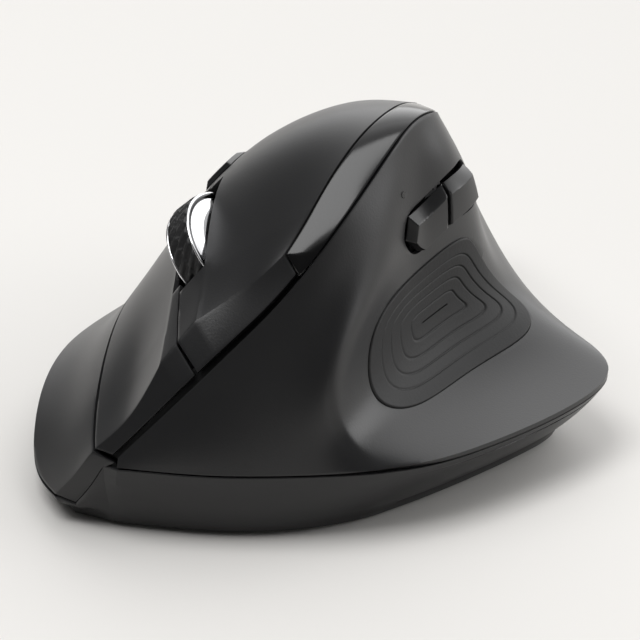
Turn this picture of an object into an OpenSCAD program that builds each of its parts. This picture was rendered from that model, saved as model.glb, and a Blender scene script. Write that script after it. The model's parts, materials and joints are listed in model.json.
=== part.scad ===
// Right-hand vertical computer mouse: nose toward -Y, thumb side +X, finger side -X, table at Z = 0.
// The outer shells follow two smooth control nets, one for the thumb side and one for the finger side.

/* [Body] */
// Length of the body from nose to tail
body_length = 116.4; // [113:0.1:123]
// Width of the body from the thumb flange to the finger-side flare
body_width = 89.7; // [87:0.1:95]
// Height of the hump above the table
body_height = 61.8; // [60:0.1:66]
// Wall thickness of the outer shells
shell_wall = 1.8; // [1.5:0.1:2]
// Gap along every seam between two outer pieces
seam_gap = 0.35; // [0.3:0.05:0.45]
// Gap between the front lips of the main buttons and the thumb shell
lip_gap = 0.9; // [0.85:0.05:1.2]

/* [Base] */
// Wall thickness of the skirt round the base
skirt_wall = 1.8; // [1.5:0.1:2.2]
// Thickness of the base plate
plate_thick = 2; // [1.8:0.1:2.4]
// Thickness of the slide feet under the plate
foot_thick = 0.8; // [0.6:0.1:1]
// Gap between the skirt and the edge of the shells above it
rim_gap = 0.3; // [0.2:0.05:0.5]
// Gap between parts that move past each other
run_gap = 0.3; // [0.25:0.05:0.4]

/* [Scroll wheel] */
// Outer radius of the wheel tyre
wheel_r = 10.8; // [10.4:0.1:11.2]
// How far the wheel stands out of the finger face
wheel_out = 4.2; // [3.8:0.1:4.6]
// Width of the rubber tyre
tyre_w = 4.8; // [4.4:0.1:5.2]
// Overall width of the wheel over its two metal rims
wheel_w = 6.4; // [6.2:0.1:6.8]
// Free space beside the wheel in its slot and carrier
wheel_side = 0.5; // [0.4:0.05:0.6]
// Radius of the wheel axle
axle_r = 1.5; // [1.3:0.1:1.7]
// Radial play of an axle or pin in its bore
axle_play = 0.05; // [0.03:0.01:0.08]
// Depth the wheel sinks when it is pressed
wheel_press = 0.6; // [0.4:0.1:0.7]

/* [Buttons] */
// Angle a main button turns when it is pressed, in degrees
main_press = 0.8; // [0.5:0.1:0.9]
// Distance a side button or the small rear button sinks when pressed
button_press = 0.6; // [0.4:0.1:0.7]
// Free gap kept between a pressed button and its switch
switch_gap = 0.35; // [0.3:0.05:0.4]
// Gap round the side buttons in their recess
side_gap = 0.5; // [0.4:0.05:0.6]
// Radius of the two button hinge pins
pin_r = 1; // [0.9:0.05:1.2]

/* [Battery and boards] */
// Radius of the battery cell
cell_r = 5.25; // [5:0.05:5.4]
// Length of the battery cell without its terminal
cell_len = 43.5; // [43:0.1:44]
// Thickness of the circuit boards
board_thick = 1.6; // [1.2:0.1:1.8]
// Radius of the base screw shanks
screw_r = 1; // [0.8:0.1:1.2]

/* [Hidden] */
// Sizes that the control nets were drawn at, and the scale from them to the chosen sizes
net_length = 116.4;
net_width = 89.7;
net_height = 61.8;
K = [body_width / net_width, body_length / net_length, body_height / net_height];
// The nets are shifted so that the middle of the whole body stands over the origin
shift = [-0.93 * K.x, 0.81 * K.y, 0];
plate_low = foot_thick;
plate_top = plate_low + plate_thick;
eps = 0.01;
$fa = 6;
$fs = 0.5;

// Straight row of n points from a to b with a small swell in its middle
function row(a, b, n, swell) = [for (i = [0:n - 1]) let (t = i / (n - 1)) a + (b - a) * t + swell * 4 * t * (1 - t)];

// Thumb side: rows run nose to tail, each row runs from the lower rim to the spine
thumb_net = [
    row([-11, -57.8, 12.6], [-11, -57.2, 13.8], 8, [0, 0, 0]),
    row([3, -53.2, 12.6], [-3.5, -51, 23], 8, [0.2, -0.5, 0.1]),
    row([13, -47.2, 12.5], [3.5, -44.5, 32], 8, [0.4, -0.8, 0.2]),
    row([21, -42, 12.5], [10.5, -38.5, 41], 8, [0.4, -0.8, 0.2]),
    [[26.5, -37.2, 12.5], [20.4, -39, 17], [18.4, -40.2, 25], [17.6, -37.6, 33],
     [17, -33.5, 38.5], [16.5, -31, 43], [16, -30.5, 46.5], [15, -30.5, 50]],
    [[27.5, -36, 12.5], [21.3, -37.8, 17], [19.5, -39.2, 25], [19.5, -35, 33],
     [19.8, -27.5, 39], [19.5, -22.5, 45.5], [18, -20.5, 51.5], [16, -20.5, 55.5]],
    [[29, -34.4, 12.5], [22, -36.3, 16.6], [19.8, -36.6, 23.5], [19.6, -31, 31],
     [19.8, -22, 38], [19.5, -16, 45], [18.5, -14.5, 53], [16.8, -14, 59.5]],
    [[34.5, -28, 12.5], [27, -25, 14.5], [21.3, -21, 19.5], [19.3, -17, 28],
     [19, -12.5, 35.5], [19.3, -10.5, 43], [18.8, -9.5, 52.5], [17.2, -8.5, 62]],
    [[39.8, -16, 12.5], [30.5, -10, 14], [23.5, -6, 19], [21, -4.5, 27],
     [20.8, -3.5, 36], [21.8, -4, 46], [21, -5, 54.5], [17.5, -3.5, 61.5]],
    [[45, -2.5, 13], [36, 5, 14.2], [29, 7.5, 18.5], [25, 7.5, 26],
     [23, 7.5, 35], [22.6, 4.5, 46], [20.5, 0.5, 54], [16.3, 1.5, 59.3]],
    [[47.25, 11.5, 14], [38, 14, 15], [29, 14.5, 18.5], [21.5, 14.5, 26],
     [17, 14, 34], [16, 12, 43.5], [14.8, 9, 51], [12.1, 8.5, 54.4]],
    [[35.5, 18.2, 14.3], [30, 19.8, 15.5], [23.5, 21, 19], [17.5, 21.3, 25.5],
     [13.3, 21, 32.5], [11.3, 20, 40], [9.8, 18.5, 46], [8, 18, 49.5]],
    [[23, 25, 13.6], [19.5, 26.8, 15.5], [15.5, 27.8, 19.5], [11.5, 28.5, 25.5],
     [8.2, 28.8, 31], [5, 29, 36], [2.2, 29, 40], [-0.3, 29, 43]],
    [[9.5, 35.5, 12.6], [7.8, 36.5, 15.5], [5.2, 37.5, 19], [2.6, 38.3, 23.5],
     [0.3, 38.8, 27.5], [-1.6, 39.2, 30.5], [-3.2, 39.6, 33], [-4.8, 40, 35]],
    [[0.5, 46.8, 12.5], [-0.3, 47.3, 15], [-1.3, 48, 17.5], [-2.5, 48.8, 19.5],
     [-3.7, 49.4, 21], [-5, 50, 22.5], [-6.3, 50.5, 23.8], [-7.6, 51, 25]],
    row([-7, 57.57, 12.6], [-8, 57.17, 14], 8, [0, 0, 0])
];

// Finger side: rows run from the front edge to the tail, each row runs from the spine to the lower rim
finger_flat = [
    [[8, -35, 46.5], [3, -37.5, 41], [-3.5, -42, 36.5], [-5.8, -46.3, 31.5], [-8.5, -51, 27],
     [-11, -54.8, 19.5], [-15.3, -57.5, 14.7], [-18, -59, 9.5], [-22, -59, 5]],
    [[9, -30, 50.5], [2, -31, 45.5], [-5.5, -34.5, 39.5], [-8.5, -38.5, 34.5], [-11.5, -42.5, 30],
     [-14.5, -47, 21.5], [-18.5, -52, 16], [-22.5, -55, 10], [-29.5, -54, 4.5]],
    [[9.5, -23.5, 55.5], [0.5, -23.5, 50], [-8, -26.5, 43], [-11.5, -30, 38], [-15, -33.5, 33],
     [-18.5, -38, 24.5], [-22.3, -44.5, 18], [-27, -48, 11.5], [-34.5, -46.5, 7.5]],
    [[10.5, -14, 60.5], [-0.5, -14.5, 55.5], [-11, -17, 46.5], [-15.5, -20.5, 41], [-19.5, -23.5, 35.5],
     [-23.5, -27.5, 27], [-27.5, -32.5, 20], [-33, -35.5, 13], [-41, -33.5, 9.2]],
    [[11.5, -3, 61.5], [-1.5, -4, 57.5], [-13, -7.5, 49], [-18.5, -10, 43.5], [-23, -12.5, 37.5],
     [-27.5, -16, 29], [-31.5, -20.5, 21.5], [-36.5, -22.5, 14.5], [-44.5, -20, 10]],
    [[8.5, 8, 56], [-3, 7.5, 53.5], [-14.5, 5, 47], [-20.5, 3, 41.5], [-25.5, 1, 35.5],
     [-30.5, -2, 28], [-34, -5.5, 21], [-37.5, -6.5, 14.5], [-43.5, -5, 9.5]],
    [[3.5, 18.5, 50.5], [-6.3, 18.5, 49], [-16, 17.5, 44], [-22, 16.5, 38.5], [-27, 15, 32.5],
     [-31.5, 13, 26], [-35, 11.5, 20], [-38, 11, 14.5], [-42, 12, 9.5]],
    [[-4.8, 30, 43], [-11.5, 30.5, 42], [-18.5, 30.5, 38], [-23.5, 30, 33.5], [-27.8, 29, 28.5],
     [-31.5, 28, 23.5], [-34.5, 27.5, 19], [-36.5, 27.5, 14.5], [-39, 28.5, 9.5]],
    [[-9, 41.8, 34], [-14, 42.5, 33], [-19, 42.8, 30], [-22.3, 42.8, 27], [-25.3, 42.5, 23.5],
     [-28, 42.3, 20], [-30, 42.2, 17], [-31.5, 42.3, 13.5], [-32.5, 43, 9.8]],
    [[-11, 51.8, 23.5], [-13.5, 52.4, 22], [-16, 52.7, 20.3], [-18, 52.6, 18.8], [-19.8, 52.5, 17.3],
     [-21.2, 52.5, 15.8], [-22.2, 52.5, 14.2], [-22.9, 52.7, 12.6], [-23.2, 53, 11]],
    row([-11, 57.07, 14], [-14, 57.07, 12], 9, [0, 0, 0])
];
// Swell of the finger face: how far each of its rows and columns stands out of the flat net
swell_rows = [0, 0, 0.3, 1, 1.45, 1.4, 1, 0.5, 0, 0, 0];
swell_cols = [0.15, 0.95, 1, 0.9, 0.75, 0.6, 0.3, 0, 0];
swell_dir = [-0.56, -0.12, 0.82];
finger_net = [for (i = [0:len(swell_rows) - 1]) [for (j = [0:len(swell_cols) - 1])
    finger_flat[i][j] + swell_dir * swell_rows[i] * swell_cols[j]]];

// Seam down the nose below the front lips
nose_line = [[-12.6, -57, 13.8], [-15, -58.6, 8.5], [-18.5, -58.2, 4]];

// Outline of the base on the table, one point below each rim point of the two nets
thumb_foot = [[-12, -56.4], [2, -52], [11.5, -46.8], [18.5, -41], [23, -35], [24, -33.4], [25, -31.4], [28.5, -24],
              [32.5, -13.5], [36.5, -1], [38.5, 9], [31, 15.5], [20, 23.5], [7, 34.5], [-1.5, 45], [-7, 55.5]];
finger_foot = [[-20, -57.2], [-26, -53.8], [-31, -46.4], [-36.5, -33.5], [-39.5, -20], [-39.5, -5.5], [-38, 11],
               [-35, 27], [-29.5, 41], [-21, 50.8], [-14, 55]];

// Uniform cubic curve that starts and ends on its end points; works on numbers, points and whole rows
function weights(f) = [pow(1 - f, 3), 3 * pow(f, 3) - 6 * f * f + 4, -3 * pow(f, 3) + 3 * f * f + 3 * f + 1, pow(f, 3)] / 6;
function pick(P, i) = i < 0 ? 2 * P[0] - P[1] : i >= len(P) ? 2 * P[len(P) - 1] - P[len(P) - 2] : P[i];
function curve(P, t) =
    let (c = max(0, min(len(P) - 1, t)), i = min(floor(c), len(P) - 2), w = weights(c - i))
    w[0] * pick(P, i - 1) + w[1] * pick(P, i) + w[2] * pick(P, i + 1) + w[3] * pick(P, i + 2);
function mul(p) = [p.x * K.x, p.y * K.y, p.z * K.z];
function thumb(u, v) = mul(curve(curve(thumb_net, u), v));
function finger(p, q) = mul(curve(curve(finger_net, p), q));
function ramp(a, b, n) = [for (i = [0:n]) a + (b - a) * i / n];

// Surface direction at a grid point, pointing out of the body
function clampi(i, n) = max(0, min(n - 1, i));
function out_dir(G, i, j) =
    let (a = G[clampi(i + 1, len(G))][j] - G[clampi(i - 1, len(G))][j],
         m = len(G[0]),
         b = G[i][clampi(j + 1, m)] - G[i][clampi(j - 1, m)],
         n = cross(a, b))
    n / norm(n);

// Closed shell over a grid of points: t_out above the grid, t_in below it (a number or a function of the
// grid place); keep(i, j) leaves cells out
module panel(G, t_out, t_in, keep = function (i, j) true) {
    R = len(G);
    C = len(G[0]);
    deep = function (i, j) is_function(t_in) ? t_in(i, j) : t_in;
    N = [for (i = [0:R - 1]) [for (j = [0:C - 1]) out_dir(G, i, j)]];
    pts = concat([for (i = [0:R - 1], j = [0:C - 1]) G[i][j] + N[i][j] * t_out],
                 [for (i = [0:R - 1], j = [0:C - 1]) G[i][j] - N[i][j] * deep(i, j)]);
    has = function (i, j) i >= 0 && j >= 0 && i < R - 1 && j < C - 1 && keep(i, j);
    id = function (i, j, k) k * R * C + i * C + j;
    faces = [for (i = [0:R - 2], j = [0:C - 2]) if (has(i, j)) each [
        [id(i, j, 0), id(i, j + 1, 0), id(i + 1, j + 1, 0)],
        [id(i, j, 0), id(i + 1, j + 1, 0), id(i + 1, j, 0)],
        [id(i, j, 1), id(i + 1, j + 1, 1), id(i, j + 1, 1)],
        [id(i, j, 1), id(i + 1, j, 1), id(i + 1, j + 1, 1)],
        if (!has(i - 1, j)) each wall(id(i, j, 0), id(i, j + 1, 0), id(i, j, 1), id(i, j + 1, 1)),
        if (!has(i + 1, j)) each wall(id(i + 1, j + 1, 0), id(i + 1, j, 0), id(i + 1, j + 1, 1), id(i + 1, j, 1)),
        if (!has(i, j - 1)) each wall(id(i + 1, j, 0), id(i, j, 0), id(i + 1, j, 1), id(i, j, 1)),
        if (!has(i, j + 1)) each wall(id(i, j + 1, 0), id(i + 1, j + 1, 0), id(i, j + 1, 1), id(i + 1, j + 1, 1))
    ]];
    polyhedron(pts, faces);
}
function wall(a, b, c, d) = [[b, a, c], [b, c, d]];

// Closed pad over rings of points that run round an outline; ring 0 is the middle
function ring_dir(G, k, a) =
    let (n = len(G[0]), r = G[clampi(k + 1, len(G))][a] - G[clampi(k - 1, len(G))][a],
         t = G[k][(a + 1) % n] - G[k][(a + n - 1) % n], c = cross(r, t))
    c / norm(c);
module pad_solid(G, t_out, t_in) {
    R = len(G);
    n = len(G[0]);
    N = [for (k = [0:R - 1]) [for (a = [0:n - 1]) ring_dir(G, k, a)]];
    top = [for (k = [0:R - 1], a = [0:n - 1]) G[k][a] + N[k][a] * t_out];
    low = [for (k = [0:R - 1], a = [0:n - 1]) G[k][a] - N[k][a] * t_in];
    ones = [for (a = [0:n - 1]) 1 / n];
    c_top = ones * [for (a = [0:n - 1]) top[a]];
    c_low = ones * [for (a = [0:n - 1]) low[a]];
    id = function (k, a, s) s * R * n + k * n + a % n;
    faces = [for (a = [0:n - 1]) each concat(
        [[2 * R * n, id(0, a + 1, 0), id(0, a, 0)], [2 * R * n + 1, id(0, a, 1), id(0, a + 1, 1)]],
        [for (k = [0:R - 2]) each [
            [id(k, a, 0), id(k, a + 1, 0), id(k + 1, a + 1, 0)], [id(k, a, 0), id(k + 1, a + 1, 0), id(k + 1, a, 0)],
            [id(k, a, 1), id(k + 1, a + 1, 1), id(k, a + 1, 1)], [id(k, a, 1), id(k + 1, a, 1), id(k + 1, a + 1, 1)]]],
        [[id(R - 1, a, 0), id(R - 1, a + 1, 0), id(R - 1, a + 1, 1)], [id(R - 1, a, 0), id(R - 1, a + 1, 1), id(R - 1, a, 1)]])];
    polyhedron(concat(top, low, [c_top, c_low]), faces);
}

// Closed outline in surface coordinates, smoothed from a few corner points
function around(P, t) = let (n = len(P), i = floor(t), w = weights(t - i))
    w[0] * P[(i + n - 1) % n] + w[1] * P[i % n] + w[2] * P[(i + 1) % n] + w[3] * P[(i + 2) % n];

// Unit directions out of the two faces at a surface point
function unit(v) = v / norm(v);
function thumb_n(u, v) =
    let (h = 0.02)
    unit(cross(thumb(u + h, v) - thumb(u - h, v), thumb(u, v + h) - thumb(u, v - h)));
function finger_n(p, q) =
    let (h = 0.02)
    unit(cross(finger(p + h, q) - finger(p - h, q), finger(p, q + h) - finger(p, q - h)));

// Front lips: their lower edge runs lip_gap away from the top edge of the thumb shell, then down the nose
thumb_top = 6.97;
// Rows at which the shells end at the nose and at the tail
nose_u = 0.03;
tail_u = 14.97;
tail_p = 9.97;
function lip_u(q) = lookup(q, [[0, 3.27], [1, 2.6], [2, 1.94], [3, 1.43], [4, 0.99], [5, 0.48], [6, 0]]);
function lip_low(q) =
    let (e = thumb(lip_u(q), thumb_top))
    q > 6 ? mul(curve(nose_line, q - 6)) : e + unit(finger(0, q) - e) * lip_gap;
// Finger face continued over the lips: r = 0 is the front edge, r = -1 the lower edge of the lips
function front(r, q) = r >= 0 ? finger(r, q) : finger(0, q) + (lip_low(q) - finger(0, q)) * -r;
lip_end = -1;
edge_wall = 0.6;
function skin_wall(r) = r < -0.9 ? edge_wall : r < 0 ? (edge_wall + shell_wall) / 2 : shell_wall;

// Directions of the wheel frame: x along the axle toward the thumb, y toward the tail, z out of the finger face
face_lean = 45;
face_pitch = 12;
face_yaw = 20;
function turn_x(v, a) = [v.x, v.y * cos(a) - v.z * sin(a), v.y * sin(a) + v.z * cos(a)];
function turn_z(v, a) = [v.x * cos(a) - v.y * sin(a), v.x * sin(a) + v.y * cos(a), v.z];
function face_dir(v) = turn_z(turn_x(v, face_pitch), face_yaw);
wx = face_dir([cos(face_lean), 0, sin(face_lean)]);
wy = face_dir([0, 1, 0]);
wz = face_dir([-sin(face_lean), 0, cos(face_lean)]);
wheel_p = 2.83;
wheel_c = finger(wheel_p, 3.3) - wz * (wheel_r - wheel_out);
function to_wheel(P) = [(P - wheel_c) * wx, (P - wheel_c) * wy, (P - wheel_c) * wz];

// Wheel slot and rear notch between the main buttons, in surface coordinates
function q_mm(p) = lookup(p, [[1.7, 6.7], [2.5, 7.2], [3, 7.5], [3.95, 8]]) * (K.x + K.z) / 2;
rear_mm = 12 * K.y;
// Column of the finger face on row p that lies x along the axle, reached in n steps from column q
function col_at(p, x = 0, q = 3.3, n = 4) =
    n == 0 ? q : col_at(p, x, q + (to_wheel(finger(p, q)).x - x) / q_mm(p), n - 1);
// Row of the finger face that lies y behind the wheel centre and x along the axle, reached in n steps from row p
function row_at(y, x = 0, p = wheel_p, n = 6) =
    n == 0 ? p : row_at(y, x, p + (y - to_wheel(finger(p, col_at(p, x))).y) / rear_mm, n - 1);
slot_half = wheel_w / 2 + wheel_side;
slot_reach = sqrt(pow(wheel_r, 2) - pow(wheel_r - wheel_out - shell_wall, 2)) + wheel_press + wheel_side;
function slot_rows(x) = [min(row_at(-slot_reach), row_at(-slot_reach, x)), max(row_at(slot_reach), row_at(slot_reach, x))];
slot_left = slot_rows(slot_half);
slot_right = slot_rows(-slot_half);
outer_q = 6.08;
strip_q = 0.01;

// Seam between the two main buttons and their edges beside the wheel
function seam_q(p) = lookup(p, [[-1, 2.95], [0, 2.97], [0.82, 3.27], [1.6, 3.5], [1.95, 3.5], [3.5, 3.3], [5, 3.3]]);
function inside(p, a, b) = p > a - 0.001 && p < b + 0.001;
// Seams widen over the lips, which move across them when a button is pressed
function seam_at(p) = seam_gap * (1 + 2.2 * max(0, 0.3 - p));
function gap_half(p, slot) =
    inside(p, slot[0], slot[1]) ? slot_half : inside(p, notch[0], notch[1]) ? notch_half : 0;
function edge_q(p, slot, s) =
    let (h = gap_half(p, slot))
    h > 0 ? col_at(p, -s * h) : seam_q(p) + s * seam_at(p) / 2 / q_mm(p);
function button_rows(slot) = concat([lip_end, -0.5], ramp(0, slot[0] - 0.02, 6), ramp(slot[0], slot[1], 8),
    [slot[1] + 0.02, notch[0] - 0.02], ramp(notch[0], notch[1], 2), [notch[1] + 0.02, rear_p - seam_gap / rear_mm]);

// Parts round the wheel, all in the wheel frame
hub_r = wheel_r - 2.2;
rim_t = (wheel_w - tyre_w) / 2;
tread_count = 28;
arm_in = wheel_w / 2 + wheel_side;
arm_out = arm_in + 1.5;
arm_low = -(wheel_r + 1.5);
arm_front = -(wheel_r - 3.1);
wall_in = wheel_r + 0.6;
arm_rear = wall_in + 1.4;
lug_half = 2;
encoder_w = 3.2;
board_top = -9;
deck_top = board_top - board_thick;
deck_thick = 2;
deck_low = deck_top - deck_thick;
board_x = [-20, 16.5];
board_y = [-21, 14.6];
deck_rear = 20.5;
deck_side = 18;
tab_half = 2.7;
tact = 3.2;
tact_top = board_top + tact + 0.8;
lug_low = tact_top + wheel_press + switch_gap;

// Small rear button between the main buttons: its switch stands close behind the middle switch
switch_space = 0.44;
middle_y = arm_rear + run_gap + tact / 2;
cap_r = 2.4;
cap_half = 0.7;
cap_rise = 0.6;
cap_tilt = 21;
cap_p = row_at(middle_y + tact + switch_space);
cap_c = to_wheel(finger(cap_p, col_at(cap_p)));
cap_room = run_gap + 0.2;
notch_half = cap_half + cap_r + cap_room;
notch_p = (cap_r + cap_room) / rear_mm;
notch = [cap_p - notch_p, cap_p + notch_p + shell_wall * tan(cap_tilt) / rear_mm];
// Rear end of the main buttons, a short land behind the notch
rear_land = 1.07;
rear_p = notch[1] + rear_land / rear_mm;
cap_stem_r = 1.3;
guide_low = -1.5;
guide_t = 1.5;
guide_in = 3;
guide_out = 4.5;
guide_half = 1.8;

// Levers under the main buttons, their hinges and click switches
lever_in = 10.1;
lever_out = 15.9;
lever_mid = (lever_in + lever_out) / 2;
lever_top = -0.4;
lever_low = lever_top - 1.8;
lever_tip = -17;
hinge_y = 17.5;
hinge_z = -5.5;
barrel_r = pin_r + 1.2;
ear_t = 1.5;
click_y = -14.5;
click_body = [5.8, 12.8, 5];
click_top = lever_low - (hinge_y - click_y) * sin(main_press) - switch_gap;
post_r = 1.6;
left_posts = [[1.62, 1.62], [3.2, 1.8]];
right_posts = [[2.6, 4.95], [3.8, 4.9]];

// Side buttons: recess limits in surface coordinates and a frame with z out of the thumb face
side_u = [6.3, 9.1];
side_split = 7.85;
function side_low(u) = lookup(u, [[6.3, 4.8], [7.05, 4.4], [8.05, 4.6], [9.1, 4.78]]);
function side_high(u) = lookup(u, [[6.3, 5.35], [7.8, 5.57], [8.9, 5.6]]);
side_c = thumb(7.75, 5.02);
side_n = unit(thumb_n(7.1, 5) + thumb_n(8.5, 5.1));
sx = [side_n.z * side_n.x, side_n.z * side_n.y, side_n.z * side_n.z - 1] / norm([side_n.x, side_n.y]);
sy = [-side_n.y, side_n.x, 0] / norm([side_n.x, side_n.y]);
function to_side(P) = [(P - side_c) * sx, (P - side_c) * sy, (P - side_c) * side_n];
fwd_c = to_side(thumb(7.1, 4.95));
back_c = to_side(thumb(8.48, 5.1));
side_rise = 1.1;
stem_r = 1.5;
stem_end = -3.6;
side_tact_top = stem_end - button_press - switch_gap;
side_board_top = -9;
side_post_r = 1.3;
side_posts = [to_side(thumb(5.85, 4.75)), to_side(thumb(9.3, 5))];
u_mm = 8.5 * K.y;
v_mm = 9 * K.z;
light_at = [6.1, 5.81];
light_r = 0.6;

// Thumb pad: outline, the short bar in its middle and the rings between them
pad_corners = [[7.8, 4.14], [6.8, 3.92], [6.1, 3.4], [6.3, 2.6], [6.5, 1.6], [7.1, 1.26],
               [8.2, 1.62], [9.55, 1.82], [9.85, 2.2], [9.35, 2.8], [8.85, 3.6], [8.6, 4.25]];
pad_bar = [[7.5, 2.86], [8, 3]];
pad_n = 48;
pad_rings = [0.16, 0.45, 0.75, 1];
pad_deep = 0.9;
pad_rise = 0.3;
pad_gap = 0.05;
function bar_point(o) =
    let (d = pad_bar[1] - pad_bar[0], t = max(0, min(1, ((o - pad_bar[0]) * d) / (d * d))))
    pad_bar[0] + d * t;
function pad_grid(extra) = [for (k = pad_rings) [for (a = [0:pad_n - 1])
    let (o = around(pad_corners, a * len(pad_corners) / pad_n), c = bar_point(o),
         e = c + (o - c) * (k + (k == 1 ? extra : 0)))
    thumb(e.x, e.y)]];

strip_n = 6;
strip_wall = 0.8;
strip_edge = 0.15;
// Strip along the ridge: the thumb-face station that lies across from each finger-face row
strip_u = [3.7, 4.1, 4.85, 6.1, 8, 10, 11, 12, 13, 14, 15];
function strip_far(r) = r < 0 ? thumb(3.7 + 0.4 * r, 7) : thumb(curve(strip_u, r), 7);
function strip_point(r, t) =
    let (a = front(r, 0), b = strip_far(r), w = norm(b - a), g = seam_gap / w, s = g + (1 - 2 * g) * t)
    a + (b - a) * s + unit(finger_n(max(r, 0), 0.2) + thumb_n(curve(strip_u, max(r, 0)), 6.8)) * 0.5 * 4 * t * (1 - t);

// Loop round the base: upper edge under the shells, and the outline on the plate
thumb_us = ramp(nose_u, tail_u, 38);
finger_ps = ramp(tail_p, 0, 26);
nose_rs = [[-0.5, 8], [lip_end, 8], [lip_end, 7.4], [lip_end, 6.8], [lip_end, 6.3]];
function drop(P, n) = [P.x, P.y, P.z - shell_wall * max(0, n.z) - rim_gap];
rim_loop = concat([for (u = thumb_us) drop(thumb(u, 0), thumb_n(u, 0.05))],
                  [for (p = finger_ps) drop(finger(p, 8), finger_n(p, 7.95))],
                  [for (k = nose_rs) drop(front(k[0], k[1]), [0, 0, 0.4])]);
function flat(p) = [p.x * K.x, p.y * K.y];
foot_loop = concat([for (u = thumb_us) flat(curve(thumb_foot, u))],
                   [for (p = finger_ps) flat(curve(finger_foot, p))],
                   [for (i = [1:len(nose_rs)])
                       flat(finger_foot[0] + (thumb_foot[0] - finger_foot[0]) * i / (len(nose_rs) + 1))]);
loop_n = len(rim_loop);
function inward(L, i) =
    let (a = L[(i + 1) % loop_n], b = L[(i + loop_n - 1) % loop_n], t = [a.x - b.x, a.y - b.y])
    [-t.y, t.x] / norm(t);
function inset(L, d) = [for (i = [0:loop_n - 1]) [L[i].x, L[i].y] + inward(L, i) * d];
function raise(L, z) = [for (p = L) [p.x, p.y, z]];
function rim_z(i) = rim_loop[i].z;

// Battery bay
bay_x = -15;
bay_half = cell_r + 0.5;
bay_wall = 1.4;
bay_front = -7;
contact_t = 0.4;
spring_h = 0.8;
nub_h = 1;
cell_z = plate_top + 0.4 + cell_r;
cell_y0 = bay_front + contact_t + spring_h + run_gap;
cell_y1 = cell_y0 + cell_len;
bay_rear = cell_y1 + nub_h + run_gap + contact_t;
door_half = bay_half - run_gap;
door_front = bay_front + 0.4;
tongue = 1;
tongue_t = 0.7;
tongue_z = plate_low + plate_thick / 2 - tongue_t / 2;
tongue_gap = 0.12;

// Boards and switches on the base
main_x = [-4.5, 24];
main_y = [-18, 12];
main_z = plate_top + 5.2;
legs = [[-2, -33], [-1, 0], [-13, -27], [9, -22]];
leg_r = 2.5;
head_r = 2;
head_h = 0.9;
bosses = [[21, -15], [22, 9.8], [-1.5, -15.5]];
sensor_at = [8, -6];
sensor = [10, 12, 3];
power_at = [18, 2];
power_travel = 3;
knob = 3.2;
feet = [[[-9, -46], [18, 6], -3], [[27, 0], [6, 20], -20], [[4, 26], [13, 5], -32], [[-33, -6], [6, 20], 2]];

module place() {
    translate(shift) children();
}
module at_wheel() {
    place() translate(wheel_c) rotate([face_pitch, 0, face_yaw]) rotate([0, -face_lean, 0]) children();
}
module along(P, n) {
    place() translate(P) rotate([0, acos(n.z), atan2(n.y, n.x)]) children();
}
module at_side() {
    along(side_c, side_n) children();
}
module box(a, b) {
    translate(a) cube(b - a);
}
// Round bar along the wheel axle direction
module rod(r, x0, x1) {
    translate([x0, 0, 0]) rotate([0, 90, 0]) cylinder(r = r, h = x1 - x0);
}
module both_sides() {
    children();
    mirror([1, 0, 0]) children();
}

// Base plate: flat floor with the battery opening, sensor window, switch slot, screw holes and board bosses
module base_plate() {
    color("#202022") place() difference() {
        union() {
            translate([0, 0, plate_low]) linear_extrude(plate_thick) polygon(inset(foot_loop, skirt_wall + 0.2));
            for (b = bosses)
                translate([b.x, b.y, plate_top - eps]) cylinder(r = 2, h = main_z - plate_top + eps);
        }
        box([bay_x - bay_half, door_front - run_gap, 0], [bay_x + bay_half, body_length, plate_top + 1]);
        box([bay_x - bay_half - tongue, door_front + 2 - run_gap, tongue_z - tongue_gap],
            [bay_x + bay_half + tongue, body_length, tongue_z + tongue_t + tongue_gap]);
        box([sensor_at.x - 3.5, sensor_at.y - 4.5, 0], [sensor_at.x + 3.5, sensor_at.y + 4.5, plate_top + 1]);
        box([power_at.x - knob / 2 - run_gap, power_at.y - knob / 2 - run_gap, 0],
            [power_at.x + knob / 2 + run_gap, power_at.y + knob / 2 + power_travel + run_gap, plate_top + 1]);
        for (l = legs) translate([l.x, l.y, 0]) {
            cylinder(r = screw_r + axle_play, h = plate_top + 1);
            cylinder(r = head_r + 0.1, h = plate_low + head_h);
        }
    }
}

// Skirt: outer wall of the base up to the seam under the shells, open over the sliding battery door
module base_skirt() {
    low_out = raise(inset(foot_loop, 0.8), plate_low);
    foot_out = [for (i = [0:loop_n - 1]) [foot_loop[i].x, foot_loop[i].y, plate_low + 0.3 * (rim_z(i) - plate_low) / 2]];
    mid_xy = inset([for (i = [0:loop_n - 1]) ([rim_loop[i].x, rim_loop[i].y] + foot_loop[i]) / 2], -0.6);
    mid_out = [for (i = [0:loop_n - 1]) [mid_xy[i].x, mid_xy[i].y, (rim_z(i) + plate_low) / 2]];
    rim_xy = inset(rim_loop, skirt_wall);
    rim_in = [for (i = [0:loop_n - 1]) [rim_xy[i].x, rim_xy[i].y, rim_z(i)]];
    low_in = raise(inset(foot_loop, skirt_wall), plate_low);
    rings = [low_out, foot_out, mid_out, rim_loop, rim_in, low_in];
    n = len(rings);
    faces = [for (k = [0:n - 1], i = [0:loop_n - 1])
        let (a = k * loop_n + i, b = k * loop_n + (i + 1) % loop_n,
             c = ((k + 1) % n) * loop_n + i, d = ((k + 1) % n) * loop_n + (i + 1) % loop_n)
        each [[a, d, b], [a, c, d]]];
    color("#2b2b2d") place() difference() {
        polyhedron([for (r = rings) each r], faces);
        box([bay_x - bay_half - tongue, cell_y0, -1], [bay_x + bay_half + tongue, body_length, plate_top + run_gap]);
    }
}

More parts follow.
